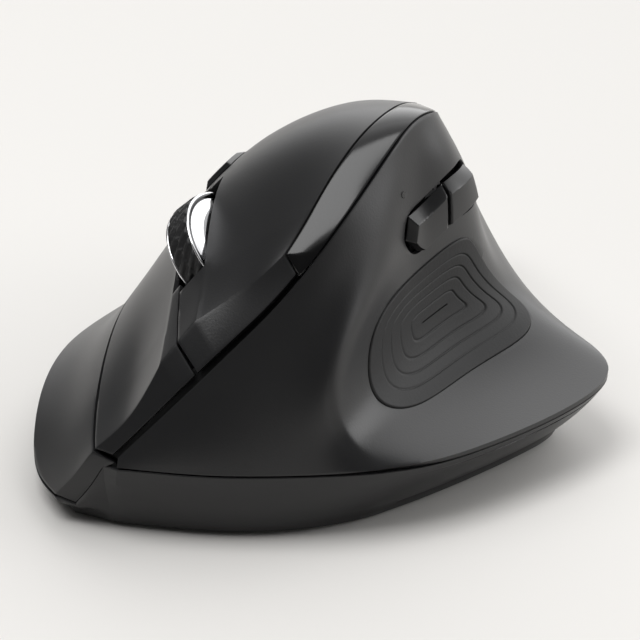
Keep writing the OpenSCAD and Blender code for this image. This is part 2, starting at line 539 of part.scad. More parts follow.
// Low-friction feet stuck under the plate; the mouse stands on them
module slide_feet() {
    color("#17171a") place() for (f = feet) translate([f[0].x, f[0].y, 0]) rotate(f[2]) {
        r = min(f[1].x, f[1].y) / 2;
        long = max(f[1].x, f[1].y) / 2 - r;
        rotate(f[1].x > f[1].y ? 0 : 90) {
            translate([-long, -r, 0]) cube([2 * long, 2 * r, foot_thick]);
            for (s = [-1, 1]) translate([s * long, 0, 0]) cylinder(r = r, h = foot_thick);
        }
    }
}

// Screws through the plate into the chassis legs
module base_screws() {
    color("#b8b8b8") place() for (l = legs) translate([l.x, l.y, 0]) {
        translate([0, 0, plate_low + 0.1]) cylinder(r = head_r, h = head_h - 0.1);
        translate([0, 0, plate_low + 0.1]) cylinder(r = screw_r, h = plate_thick + 4);
    }
}

// Battery door: part of the floor that slides out toward the tail on two side tongues
module battery_door() {
    color("#2a2a2c") place() intersection() {
        translate([0, 0, plate_low]) linear_extrude(plate_thick) polygon(inset(foot_loop, 0.8));
        union() {
            box([bay_x - door_half, door_front, 0], [bay_x + door_half, body_length, plate_top]);
            box([bay_x - door_half - tongue, door_front + 2, tongue_z],
                [bay_x + door_half + tongue, body_length, tongue_z + tongue_t]);
        }
    }
}

// Frame that holds the cell over the door
module battery_cradle() {
    top = plate_top + cell_r + 3;
    color("#303034") place() difference() {
        box([bay_x - bay_half - bay_wall, bay_front - bay_wall, plate_top],
            [bay_x + bay_half + bay_wall, bay_rear + bay_wall, top]);
        box([bay_x - bay_half, bay_front, 0], [bay_x + bay_half, bay_rear, top + 1]);
        box([bay_x - bay_half, bay_front + 5, 0], [bay_x + bay_half, bay_rear + 5, plate_top + run_gap]);
    }
}

module battery_cell() {
    color("#3d6b4f") place() translate([bay_x, cell_y0, cell_z]) rotate([-90, 0, 0]) {
        cylinder(r = cell_r, h = cell_len);
        cylinder(r = 1.9, h = cell_len + nub_h);
    }
}

module front_contact() {
    color("#c9c9c9") place() {
        box([bay_x - 4, bay_front, cell_z - 3.5], [bay_x + 4, bay_front + contact_t, cell_z + 3.5]);
        translate([bay_x, bay_front, cell_z]) rotate([-90, 0, 0]) cylinder(r1 = 3, r2 = 1.8, h = contact_t + spring_h);
    }
}

module rear_contact() {
    color("#c9c9c9") place()
        box([bay_x - 4, bay_rear - contact_t, cell_z - 3.5], [bay_x + 4, bay_rear, cell_z + 3.5]);
}

// Main board on the plate's bosses, cut round the chassis leg that passes it
module main_board() {
    color("#1f5a34") place() difference() {
        box([main_x[0], main_y[0], main_z], [main_x[1], main_y[1], main_z + board_thick]);
        translate([legs[1].x, legs[1].y, main_z - 1]) cylinder(r = leg_r + run_gap, h = board_thick + 2);
    }
}

module optical_sensor() {
    color("#26262a") place()
        box([sensor_at.x - sensor.x / 2, sensor_at.y - sensor.y / 2, main_z - sensor.z],
            [sensor_at.x + sensor.x / 2, sensor_at.y + sensor.y / 2, main_z]);
}

// Clear lens between the sensor and the floor window
module sensor_lens() {
    color("#d8e0e6") place() difference() {
        box([sensor_at.x - 6, sensor_at.y - 7, plate_top], [sensor_at.x + 6, sensor_at.y + 7, main_z - sensor.z]);
        translate([sensor_at.x, sensor_at.y, plate_top - 1]) cylinder(r = 2, h = main_z);
    }
}

module power_switch() {
    color("#c4c4c8") place()
        box([power_at.x - 2.5, power_at.y - 3, main_z - 3.2], [power_at.x + 2.5, power_at.y + 6, main_z]);
}

module power_slider() {
    color("#8a8a8e") place() {
        box([power_at.x - knob / 2, power_at.y - knob / 2, plate_low + 0.3],
            [power_at.x + knob / 2, power_at.y + knob / 2, plate_top + 0.5]);
        box([power_at.x - knob / 2 - 1, power_at.y - knob / 2 - 1, plate_top + 0.15],
            [power_at.x + knob / 2 + 1, power_at.y + knob / 2 + 1, plate_top + 1.2]);
    }
}

// Opening in the deck and the finger board that the wheel carrier slides in
module wheel_gap() {
    box([-arm_out - run_gap, arm_front - run_gap, deck_low - 1], [arm_out + run_gap, arm_rear + run_gap, board_top + 1]);
}

// Chassis: sloping deck under the finger parts, hinge ears, guide of the small button, and legs to the plate
module chassis() {
    color("#3a3a3e") {
        difference() {
            place() for (l = legs) translate([l.x, l.y, plate_top]) cylinder(r = leg_r, h = body_height - plate_top);
            at_wheel() box([-90, -90, deck_top - eps], [90, 90, 90]);
            place() for (l = legs) translate([l.x, l.y, plate_top - 1]) cylinder(r = screw_r + axle_play, h = 6);
        }
        at_wheel() {
            difference() {
                union() {
                    box([board_x[0], board_y[0], deck_low], [board_x[1], deck_rear, deck_top]);
                    box([0, board_y[1], deck_low], [deck_side, deck_rear, deck_top]);
                }
                wheel_gap();
            }
            for (s = [-1, 1], x = [lever_in - run_gap - ear_t, lever_out + run_gap]) ear(s, x);
            translate([cap_c.x, cap_c.y, 0]) {
                both_sides() box([guide_in, -guide_half, deck_top - eps], [guide_out, guide_half, guide_low + guide_t]);
                difference() {
                    box([-guide_out, -guide_half, guide_low], [guide_out, guide_half, guide_low + guide_t]);
                    translate([0, 0, guide_low - 1]) cylinder(r = cap_stem_r + 0.1, h = guide_t + 2);
                }
            }
        }
    }
}
module ear(s, x) {
    x0 = s > 0 ? x : -x - ear_t;
    difference() {
        union() {
            box([x0, hinge_y - barrel_r, deck_top - eps], [x0 + ear_t, hinge_y + barrel_r, hinge_z]);
            translate([0, hinge_y, hinge_z]) rod(barrel_r, x0, x0 + ear_t);
        }
        translate([0, hinge_y, hinge_z]) rod(pin_r + axle_play, x0 - 1, x0 + ear_t + 1);
    }
}

module finger_board() {
    color("#1f5a34") at_wheel() difference() {
        union() {
            box([board_x[0], board_y[0], deck_top], [board_x[1], board_y[1], board_top]);
            box([-tab_half, board_y[1] - 1, deck_top], [tab_half, deck_rear, board_top]);
        }
        wheel_gap();
    }
}

// Click switch under a lever: body on the board and a small plunger
module click_switch(x) {
    color("#55555a") at_wheel() {
        box([x - click_body.x / 2, click_y - 5, board_top],
            [x + click_body.x / 2, click_y - 5 + click_body.y, board_top + click_body.z]);
        translate([x, click_y, board_top]) cylinder(r = 0.9, h = click_top - board_top);
    }
}
module left_click_switch() {
    click_switch(lever_mid);
}
module right_click_switch() {
    click_switch(-lever_mid);
}

module tact_switch(x, y) {
    box([x - tact / 2, y - tact / 2, board_top], [x + tact / 2, y + tact / 2, board_top + tact]);
    translate([x, y, board_top]) cylinder(r = 0.8, h = tact_top - board_top);
}
module middle_switch() {
    color("#55555a") at_wheel() tact_switch(0, middle_y);
}
module rear_switch() {
    color("#55555a") at_wheel() tact_switch(cap_c.x, cap_c.y);
}

// Carrier of the wheel: two arms with axle bores, walls between them and a lug over the middle switch
module wheel_carrier() {
    color("#4a4a4e") at_wheel() {
        both_sides() difference() {
            union() {
                box([arm_in, arm_front, arm_low], [arm_out, arm_rear, -0.5]);
                rod(axle_r + 1.4, arm_in, arm_out);
            }
            rod(axle_r + axle_play, arm_in - 1, arm_out + 1);
        }
        box([-arm_in - eps, wall_in, arm_low], [arm_in + eps, arm_rear, lug_low + 2]);
        box([-arm_in - eps, arm_front, arm_low], [arm_in + eps, arm_front + 2, arm_low + 2]);
        box([-lug_half, arm_rear - eps, lug_low], [lug_half, arm_rear + run_gap + tact, lug_low + 2]);
    }
}

module wheel_encoder() {
    color("#2f3f55") at_wheel() difference() {
        box([arm_out, -4, -5], [arm_out + encoder_w, 4, 2.6]);
        rod(axle_r + axle_play, arm_out - 1, arm_out + encoder_w + 1);
    }
}

module wheel_axle() {
    color("#c9c9c9") at_wheel() rod(axle_r, -arm_out - 0.4, arm_out + encoder_w - 0.4);
}

module wheel_hub() {
    color("#3a3a3c") at_wheel() difference() {
        rod(hub_r, -tyre_w / 2, tyre_w / 2);
        rod(axle_r, -wheel_w, wheel_w);
    }
}

// Rubber tyre with slanted grooves between its tread blocks
module wheel_tyre() {
    color("#18181a") at_wheel() rotate([0, 90, 0]) difference() {
        rotate_extrude() polygon([[hub_r, -tyre_w / 2], [wheel_r - 0.5, -tyre_w / 2], [wheel_r, -tyre_w / 2 + 0.5],
                                  [wheel_r, tyre_w / 2 - 0.5], [wheel_r - 0.5, tyre_w / 2], [hub_r, tyre_w / 2]]);
        for (i = [0:tread_count - 1]) rotate(i * 360 / tread_count)
            translate([wheel_r, 0, 0]) rotate([25, 0, 0]) cube([1.2, 0.6, 2 * tyre_w], center = true);
    }
}

// Bright dished rims on both sides of the tyre
module wheel_rims() {
    color("#d5d5d5") at_wheel() both_sides() translate([tyre_w / 2, 0, 0]) rotate([0, 90, 0]) rotate_extrude()
        polygon([[axle_r, 0], [wheel_r - 0.7, 0], [wheel_r - 0.9, rim_t], [wheel_r - 2, rim_t],
                 [wheel_r - 3, rim_t * 0.4], [axle_r, rim_t * 0.4]]);
}

module hinge_pin(s) {
    a = lever_in - run_gap - ear_t - 0.3;
    b = lever_out + run_gap + ear_t + 0.3;
    color("#c9c9c9") at_wheel() translate([0, hinge_y, hinge_z]) rod(pin_r, s > 0 ? a : -b, s > 0 ? b : -a);
}
module left_hinge_pin() {
    hinge_pin(1);
}
module right_hinge_pin() {
    hinge_pin(-1);
}

// Lever under a main button: bar, hinge barrel at the rear and posts that carry the button
module lever(s, posts) {
    x0 = s > 0 ? lever_in : -lever_out;
    x1 = s > 0 ? lever_out : -lever_in;
    color("#333336") at_wheel() {
        difference() {
            union() {
                box([x0, lever_tip, lever_low], [x1, hinge_y - 1.5, lever_top]);
                box([x0, hinge_y - 3.2, hinge_z], [x1, hinge_y - 1.5, lever_top]);
                box([x0, hinge_y - 3.2, hinge_z - 1], [x1, hinge_y, hinge_z + 1]);
                translate([0, hinge_y, hinge_z]) rod(barrel_r, x0, x1);
            }
            translate([0, hinge_y, hinge_z]) rod(pin_r + axle_play, x0 - 1, x1 + 1);
        }
        for (k = posts) {
            P = to_wheel(finger(k[0], k[1]));
            translate([P.x, P.y, lever_top - 0.5]) cylinder(r = post_r, h = P.z - shell_wall / 2 - lever_top + 0.5);
        }
    }
}
module left_lever() {
    lever(1, left_posts);
}
module right_lever() {
    lever(-1, right_posts);
}

// Main buttons: skins of the finger face with a front lip, parted beside the wheel
module left_button() {
    rows = button_rows(slot_left);
    color("#242426") place() panel([for (p = rows) [for (t = ramp(0, 1, 9))
        front(p, strip_q + (edge_q(p, slot_left, -1) - strip_q) * t)]], 0, function (i, j) skin_wall(rows[i]));
}
module right_button() {
    rows = button_rows(slot_right);
    color("#242426") place() panel([for (p = rows) [for (t = ramp(0, 1, 9))
        let (first = edge_q(p, slot_right, 1), last = outer_q - 1.6 * seam_at(p) / q_mm(p)) front(p, first + (last - first) * t)]],
        0, function (i, j) skin_wall(rows[i]));
}

// Small button behind the wheel, guided by its stem
module rear_button() {
    color("#1d1d1f") at_wheel() translate([cap_c.x, cap_c.y, 0]) {
        difference() {
            union() {
                translate([-cap_half, -cap_r, cap_c.z - 2]) cube([2 * cap_half, 2 * cap_r, 5]);
                for (s = [-1, 1]) translate([s * cap_half, 0, cap_c.z - 2]) cylinder(r = cap_r, h = 5);
            }
            translate([0, 0, cap_c.z + cap_rise]) rotate([-cap_tilt, 0, 0]) box([-9, -9, 0], [9, 9, 9]);
        }
        end = tact_top + button_press + switch_gap;
        translate([0, 0, end]) cylinder(r = cap_stem_r, h = cap_c.z - 1 - end);
    }
}

// Thumb shell: concave side with its flange, the side button opening, the pad recess and the light hole
module thumb_shell() {
    us = concat(ramp(nose_u, side_u[0] - 0.15, 17), ramp(side_u[0], side_u[1], 10),
                ramp(side_u[1] + 0.2, tail_u, 16));
    grid = [for (u = us) [for (v = concat(ramp(0, side_low(u), 11), [(side_low(u) + side_high(u)) / 2],
                                          ramp(side_high(u), thumb_top, 4))) thumb(u, v)]];
    color("#2b2b2d") difference() {
        place() panel(grid, 0, function (i, j) j == len(grid[0]) - 1 ? edge_wall : shell_wall,
            function (i, j) !(us[i] > side_u[0] - 0.01 && us[i] < side_u[1] - 0.01 && j > 10 && j < 13));
        place() pad_solid(pad_grid(pad_gap), 2, pad_deep + 4 * pad_gap);
        along(thumb(light_at[0], light_at[1]), thumb_n(light_at[0], light_at[1]))
            translate([0, 0, -4]) cylinder(r = light_r + 0.1, h = 8);
    }
}

module palm_shell() {
    rows = concat([lip_end, -0.5], ramp(0, rear_p, 12), ramp(rear_p + 0.4, tail_p, 13));
    cols = concat(ramp(strip_q, outer_q, 12), ramp(6.35, 8, 6));
    color("#2b2b2d") place() panel([for (p = rows) [for (q = cols) front(p, q)]],
        0, function (i, j) skin_wall(rows[i]),
        function (i, j) rows[i] > rear_p - 0.01 || cols[j] > outer_q - 0.01);
}

// Gloss strip along the ridge between the finger face and the thumb face
module spine_strip() {
    rows = concat([lip_end, -0.5], ramp(0, tail_p, 30));
    color("#101012") place() panel([for (p = rows) [for (t = ramp(1, 0, strip_n)) strip_point(p, t)]],
        0, function (i, j) j == 0 || j == strip_n ? strip_edge : strip_wall);
}

module thumb_pad() {
    color("#1b1b1c") place() pad_solid(pad_grid(0), pad_rise, pad_deep);
}

module status_light() {
    color("#9fd0ff") along(thumb(light_at[0], light_at[1]), thumb_n(light_at[0], light_at[1]))
        translate([0, 0, -3]) cylinder(r = light_r, h = 3.1);
}

// Board behind the side buttons, on two posts from the shell
module side_board() {
    color("#1f5a34") at_side()
        box([-4, side_posts[0].y - 2, side_board_top - board_thick], [4, side_posts[1].y + 1.7, side_board_top]);
}
module side_posts() {
    color("#303034") at_side() for (P = side_posts)
        translate([P.x, P.y, side_board_top]) cylinder(r = side_post_r, h = P.z - shell_wall / 2 - side_board_top);
}
module side_switches() {
    color("#55555a") at_side() for (c = [fwd_c, back_c]) {
        box([c.x - 2, c.y - 2, side_board_top], [c.x + 2, c.y + 2, side_board_top + 3.4]);
        translate([c.x, c.y, side_board_top]) cylinder(r = 1, h = side_tact_top - side_board_top);
    }
}

// Side button: raised patch of the thumb face with a stem toward its switch
module side_button(u0, u1, c) {
    us = ramp(u0, u1, 7);
    gv = side_gap / v_mm;
    color("#19191b") {
        place() panel([for (u = us) [for (t = ramp(0, 1, 5))
            let (a = side_low(u) + gv, b = side_high(u) - gv) thumb(u, a + (b - a) * t)]], side_rise, 1);
        at_side() translate([c.x, c.y, stem_end]) cylinder(r = stem_r, h = c.z - 0.5 - stem_end);
    }
}
module forward_button() {
    side_button(side_u[0] + side_gap / u_mm, side_split - seam_gap / 2 / u_mm, fwd_c);
}
module back_button() {
    side_button(side_split + seam_gap / 2 / u_mm, side_u[1] - side_gap / u_mm, back_c);
}

base_plate();
base_skirt();
slide_feet();
base_screws();
battery_door();
battery_cradle();
battery_cell();
front_contact();
rear_contact();
main_board();
optical_sensor();
sensor_lens();
power_switch();
power_slider();
chassis();
finger_board();
left_click_switch();
right_click_switch();
middle_switch();
rear_switch();
wheel_carrier();
wheel_encoder();
wheel_axle();
wheel_hub();
wheel_tyre();
wheel_rims();
left_hinge_pin();
right_hinge_pin();
left_lever();
right_lever();
left_button();
right_button();
rear_button();
thumb_shell();
palm_shell();
spine_strip();
thumb_pad();
status_light();
side_board();
side_posts();
side_switches();
forward_button();
back_button();
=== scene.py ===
import json
import math

import bmesh
import bpy
import numpy as np
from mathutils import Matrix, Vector


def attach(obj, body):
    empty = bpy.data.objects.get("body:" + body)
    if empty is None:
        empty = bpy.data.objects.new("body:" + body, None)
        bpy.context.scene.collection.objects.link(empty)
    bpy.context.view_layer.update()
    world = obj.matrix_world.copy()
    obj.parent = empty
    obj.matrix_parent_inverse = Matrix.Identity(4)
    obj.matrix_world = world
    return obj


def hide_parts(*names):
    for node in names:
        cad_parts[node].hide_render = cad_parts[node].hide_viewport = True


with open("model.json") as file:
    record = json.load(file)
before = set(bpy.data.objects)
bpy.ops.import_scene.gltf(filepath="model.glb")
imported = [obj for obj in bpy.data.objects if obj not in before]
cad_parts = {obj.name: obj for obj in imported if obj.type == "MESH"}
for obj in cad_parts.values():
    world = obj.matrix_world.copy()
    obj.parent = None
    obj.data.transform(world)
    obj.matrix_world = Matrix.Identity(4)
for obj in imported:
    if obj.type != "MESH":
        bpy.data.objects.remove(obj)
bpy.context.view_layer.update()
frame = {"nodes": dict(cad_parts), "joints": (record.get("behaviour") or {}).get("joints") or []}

# Camera: a long lens that looks at the nose from 30 degrees round to the thumb side and 28 degrees up, which
# fits the outline of the mouse in the photograph.
MM = 0.001
azimuth = math.radians(30)
elevation = math.radians(28)
distance = 0.75
look_at = Vector((5.07, -19.21, 27)) * MM
sight = Vector((math.sin(azimuth) * math.cos(elevation), -math.cos(azimuth) * math.cos(elevation),
                math.sin(elevation)))
camera = bpy.data.objects.new("camera", bpy.data.cameras.new("camera"))
camera.data.sensor_width = 36
camera.data.lens = 253.1
camera.data.clip_start = 0.05
camera.location = look_at + sight * distance
camera.rotation_euler = sight.to_track_quat("Z", "Y").to_euler()
bpy.context.collection.objects.link(camera)
bpy.context.scene.camera = camera
bpy.context.scene.view_settings.view_transform = "Standard"


# Studio: a sheet of white paper on the table, a very wide lamp overhead, softboxes at the thumb side and
# above the spine strip, and a bright backdrop. The paper looks white but throws little light back up.
def linear(code):
    """A colour written as sRGB hex, as linear RGBA."""
    parts = [int(code[i:i + 2], 16) / 255 for i in (1, 3, 5)]
    return [c / 12.92 if c <= 0.04045 else ((c + 0.055) / 1.055) ** 2.4 for c in parts] + [1]


def add(tree, kind, inputs, **settings):
    """Adds one shader node with its settings, its input values and its links."""
    node = tree.nodes.new("ShaderNode" + kind)
    for name, value in settings.items():
        setattr(node, name, value)
    for name, value in inputs.items():
        if isinstance(value, bpy.types.NodeSocket):
            tree.links.new(value, node.inputs[name])
        else:
            node.inputs[name].default_value = value
    return node


def material(name):
    """A new material with an empty node tree."""
    made = bpy.data.materials.new(name)
    made.use_nodes = True
    made.node_tree.nodes.clear()
    return made, made.node_tree


paper, tree = material("studio_paper")
rays = add(tree, "LightPath", {})
seen = add(tree, "Math", {0: rays.outputs["Is Camera Ray"], 1: rays.outputs["Is Glossy Ray"]},
           operation="MAXIMUM")
tone = add(tree, "Mix", {0: seen.outputs[0], 6: linear("#747474"), 7: linear("#e0dedb")}, data_type="RGBA")
matt = add(tree, "BsdfDiffuse", {"Color": tone.outputs[2]})
add(tree, "OutputMaterial", {"Surface": matt.outputs[0]})
bm = bmesh.new()
bmesh.ops.create_grid(bm, x_segments=4, y_segments=4, size=3)
floor = bpy.data.objects.new("studio_floor", bpy.data.meshes.new("studio_floor"))
bm.to_mesh(floor.data)
bm.free()
floor.data.materials.append(paper)
bpy.context.collection.objects.link(floor)

# A very wide lamp straight above lights the paper evenly
overhead = bpy.data.objects.new("overhead_light", bpy.data.lights.new("overhead_light", "SUN"))
overhead.data.energy = 0.5
overhead.data.angle = math.radians(76)
overhead.rotation_euler = Vector((-0.25, 0.05, 0.97)).to_track_quat("Z", "Y").to_euler()
bpy.context.collection.objects.link(overhead)
for name, place, size, power in (("thumb_softbox", (1.0, 0.5, 0.36), 0.6, 2.9),
                                 ("strip_softbox", (-0.3, -0.25, 1.15), 0.8, 8)):
    lamp = bpy.data.objects.new(name, bpy.data.lights.new(name, "AREA"))
    lamp.data.size = size
    lamp.data.energy = power
    lamp.location = place
    lamp.rotation_euler = Vector(place).to_track_quat("Z", "Y").to_euler()
    bpy.context.collection.objects.link(lamp)
# The room is bright only behind the mouse, where the backdrop stands, and dim on the camera's side
world = bpy.data.worlds.new("studio_room")
world.use_nodes = True
tree = world.node_tree
toward = add(tree, "TexCoord", {}).outputs["Generated"]
behind = add(tree, "VectorMath", {0: toward, 1: (0.12, 0.97, 0.2)}, operation="DOT_PRODUCT").outputs["Value"]
glow = add(tree, "MapRange", {"Value": behind, "From Min": 0.25, "From Max": 0.85, "To Min": 0.1,
                              "To Max": 2.3}, interpolation_type="SMOOTHSTEP")
tree.nodes["Background"].inputs["Color"].default_value = linear("#f4f4f4")
tree.links.new(glow.outputs[0], tree.nodes["Background"].inputs["Strength"])
bpy.context.scene.world = world


# Floor of the mouse: a moulded black plate with its sliding battery door, glued slick feet, steel screws and
# the switch slider. These keep their CAD solids.
def moulded(name, colour, roughness, grain, depth, mottle=0.1):
    """Moulded plastic or rubber: a fine grain in the bump, drawn coarser than the real one so that it shows,
    and a slight unevenness in tone and gloss."""
    made, tree = material(name)
    place = add(tree, "TexCoord", {}).outputs["Object"]
    fine = add(tree, "TexNoise", {"Vector": place, "Scale": 1 / (grain * MM), "Detail": 2})
    broad = add(tree, "TexNoise", {"Vector": place, "Scale": 1 / (18 * MM), "Detail": 3})
    base = linear(colour)
    low = [c * (1 - mottle) for c in base[:3]] + [1]
    high = [c * (1 + mottle) for c in base[:3]] + [1]
    tone = add(tree, "Mix", {0: broad.outputs["Fac"], 6: low, 7: high}, data_type="RGBA")
    gloss = add(tree, "MapRange", {"Value": broad.outputs["Fac"], "To Min": roughness - 0.04,
                                   "To Max": roughness + 0.04})
    bump = add(tree, "Bump", {"Height": fine.outputs["Fac"], "Distance": depth * MM})
    shader = add(tree, "BsdfPrincipled", {"Base Color": tone.outputs[2], "Roughness": gloss.outputs[0],
                                          "Normal": bump.outputs[0]})
    add(tree, "OutputMaterial", {"Surface": shader.outputs[0]})
    return made


def brushed(name, colour, roughness, grain):
    """Bare metal: fine scratches that change its gloss."""
    made, tree = material(name)
    place = add(tree, "TexCoord", {}).outputs["Object"]
    fine = add(tree, "TexNoise", {"Vector": place, "Scale": 1 / (grain * MM), "Detail": 3})
    gloss = add(tree, "MapRange", {"Value": fine.outputs["Fac"], "To Min": roughness * 0.7,
                                   "To Max": roughness * 1.3})
    bump = add(tree, "Bump", {"Height": fine.outputs["Fac"], "Distance": 0.004 * MM})
    shader = add(tree, "BsdfPrincipled", {"Base Color": linear(colour), "Metallic": 1,
                                          "Roughness": gloss.outputs[0], "Normal": bump.outputs[0]})
    add(tree, "OutputMaterial", {"Surface": shader.outputs[0]})
    return made


def dress(made, *names):
    """Gives CAD nodes their material."""
    for name in names:
        for slot in frame["nodes"][name].material_slots:
            slot.material = made


# Textured black ABS of the floor, finer and glossier plastic of the feet, plated screws
base_black = moulded("base_abs", "#1b1b1c", 0.5, 0.5, 0.05)
steel = brushed("plated_steel", "#b9b9bc", 0.3, 0.3)
dress(base_black, "base_plate", "battery_door")
dress(moulded("slick_foot_ptfe", "#141416", 0.32, 0.8, 0.02), "slide_feet")
dress(steel, "base_screws")
dress(moulded("slider_abs", "#7c7c80", 0.45, 0.4, 0.03), "power_slider")


# Works inside: battery with its sprung contacts, circuit boards, switches, sensor with a clear lens, steel
# pins, and the chassis, levers, wheel carrier and hub moulded in dark nylon. All keep their CAD solids.
def board(name, trace_tone, mask_tone):
    """Glass-fibre board: solder mask that is paler over its copper traces."""
    made, tree = material(name)
    place = add(tree, "TexCoord", {}).outputs["Object"]
    cells = add(tree, "TexVoronoi", {"Vector": place, "Scale": 1 / (2.5 * MM)}, feature="DISTANCE_TO_EDGE")
    trace = add(tree, "MapRange", {"Value": cells.outputs["Distance"], "From Max": 0.12})
    tone = add(tree, "Mix", {0: trace.outputs[0], 6: linear(trace_tone), 7: linear(mask_tone)},
               data_type="RGBA")
    shader = add(tree, "BsdfPrincipled", {"Base Color": tone.outputs[2], "Roughness": 0.35})
    add(tree, "OutputMaterial", {"Surface": shader.outputs[0]})
    return made


def clear(name, colour):
    """Clear moulded plastic with a faint orange-peel ripple."""
    made, tree = material(name)
    place = add(tree, "TexCoord", {}).outputs["Object"]
    ripple = add(tree, "TexNoise", {"Vector": place, "Scale": 1 / (1.5 * MM)})
    bump = add(tree, "Bump", {"Height": ripple.outputs["Fac"], "Distance": 0.01 * MM})
    shader = add(tree, "BsdfPrincipled", {"Base Color": linear(colour), "Roughness": 0.08,
                                          "Transmission Weight": 0.8, "Normal": bump.outputs[0]})
    add(tree, "OutputMaterial", {"Surface": shader.outputs[0]})
    return made


# Dull grained nylon, smoother switch housings, traces that show through the solder mask, bright contacts
nylon = moulded("dark_nylon", "#2c2c2f", 0.55, 0.6, 0.04)
switch_black = moulded("switch_housing", "#3a3a3e", 0.4, 0.5, 0.03)
dress(steel, "left_hinge_pin", "right_hinge_pin", "wheel_axle")
dress(board("circuit_board_green", "#2f7a4a", "#1a5230"), "main_board")
dress(board("circuit_board_black", "#141615", "#0a0b0b"), "finger_board", "side_board")
dress(nylon, "battery_cradle", "chassis", "wheel_carrier", "left_lever", "right_lever", "side_posts",
      "wheel_hub")
dress(switch_black, "left_click_switch", "right_click_switch", "middle_switch", "rear_switch",
      "side_switches", "optical_sensor", "wheel_encoder", "power_switch")
dress(brushed("spring_contact", "#c8c2b0", 0.25, 0.4), "front_contact", "rear_contact")
dress(moulded("cell_wrap_film", "#2f5c45", 0.25, 2, 0.01), "battery_cell")
dress(clear("sensor_lens_clear", "#dfe7ee"), "sensor_lens")


# Skirt: the soft-edged lower wall of the base, moulded in the same soft-touch black as the shells and
# screwed to the plate. Its upper edge follows the rim of the shells, its lower edge the plate.
def row(a, b, n, swell):
    """A straight row of n points from a to b with a small swell in its middle."""
    t = np.linspace(0, 1, n)[:, None]
    a, b, swell = np.array(a), np.array(b), np.array(swell)
    return a + (b - a) * t + swell * 4 * t * (1 - t)


# Two control nets give the outer form of the whole mouse, in millimetres: the thumb side from the lower rim
# to the spine in rows from nose to tail, and the finger side from the spine to the lower rim
thumb_net = np.array([
    row([-11, -57.8, 12.6], [-11, -57.2, 13.8], 8, [0, 0, 0]),
    row([3, -53.2, 12.6], [-3.5, -51, 23], 8, [0.2, -0.5, 0.1]),
    row([13, -47.2, 12.5], [3.5, -44.5, 32], 8, [0.4, -0.8, 0.2]),
    row([21, -42, 12.5], [10.5, -38.5, 41], 8, [0.4, -0.8, 0.2]),
    [[26.5, -37.2, 12.5], [20.4, -39, 17], [18.4, -40.2, 25], [17.6, -37.6, 33],
     [17, -33.5, 38.5], [16.5, -31, 43], [16, -30.5, 46.5], [15, -30.5, 50]],
    [[27.5, -36, 12.5], [21.3, -37.8, 17], [19.5, -39.2, 25], [19.5, -35, 33],
     [19.8, -27.5, 39], [19.5, -22.5, 45.5], [18, -20.5, 51.5], [16, -20.5, 55.5]],
    [[29, -34.4, 12.5], [22, -36.3, 16.6], [19.8, -36.6, 23.5], [19.6, -31, 31],
     [19.8, -22, 38], [19.5, -16, 45], [18.5, -14.5, 53], [16.8, -14, 59.5]],
    [[34.5, -28, 12.5], [27, -25, 14.5], [21.3, -21, 19.5], [19.3, -17, 28],
     [19, -12.5, 35.5], [19.3, -10.5, 43], [18.8, -9.5, 52.5], [17.2, -8.5, 62]],
    [[39.8, -16, 12.5], [30.5, -10, 14], [23.5, -6, 19], [21, -4.5, 27],
     [20.8, -3.5, 36], [21.8, -4, 46], [21, -5, 54.5], [17.5, -3.5, 61.5]],
    [[45, -2.5, 13], [36, 5, 14.2], [29, 7.5, 18.5], [25, 7.5, 26],
     [23, 7.5, 35], [22.6, 4.5, 46], [20.5, 0.5, 54], [16.3, 1.5, 59.3]],
    [[47.25, 11.5, 14], [38, 14, 15], [29, 14.5, 18.5], [21.5, 14.5, 26],
     [17, 14, 34], [16, 12, 43.5], [14.8, 9, 51], [12.1, 8.5, 54.4]],
    [[35.5, 18.2, 14.3], [30, 19.8, 15.5], [23.5, 21, 19], [17.5, 21.3, 25.5],
     [13.3, 21, 32.5], [11.3, 20, 40], [9.8, 18.5, 46], [8, 18, 49.5]],
    [[23, 25, 13.6], [19.5, 26.8, 15.5], [15.5, 27.8, 19.5], [11.5, 28.5, 25.5],
     [8.2, 28.8, 31], [5, 29, 36], [2.2, 29, 40], [-0.3, 29, 43]],
    [[9.5, 35.5, 12.6], [7.8, 36.5, 15.5], [5.2, 37.5, 19], [2.6, 38.3, 23.5],
     [0.3, 38.8, 27.5], [-1.6, 39.2, 30.5], [-3.2, 39.6, 33], [-4.8, 40, 35]],
    [[0.5, 46.8, 12.5], [-0.3, 47.3, 15], [-1.3, 48, 17.5], [-2.5, 48.8, 19.5],
     [-3.7, 49.4, 21], [-5, 50, 22.5], [-6.3, 50.5, 23.8], [-7.6, 51, 25]],
    row([-7, 57.57, 12.6], [-8, 57.17, 14], 8, [0, 0, 0])])
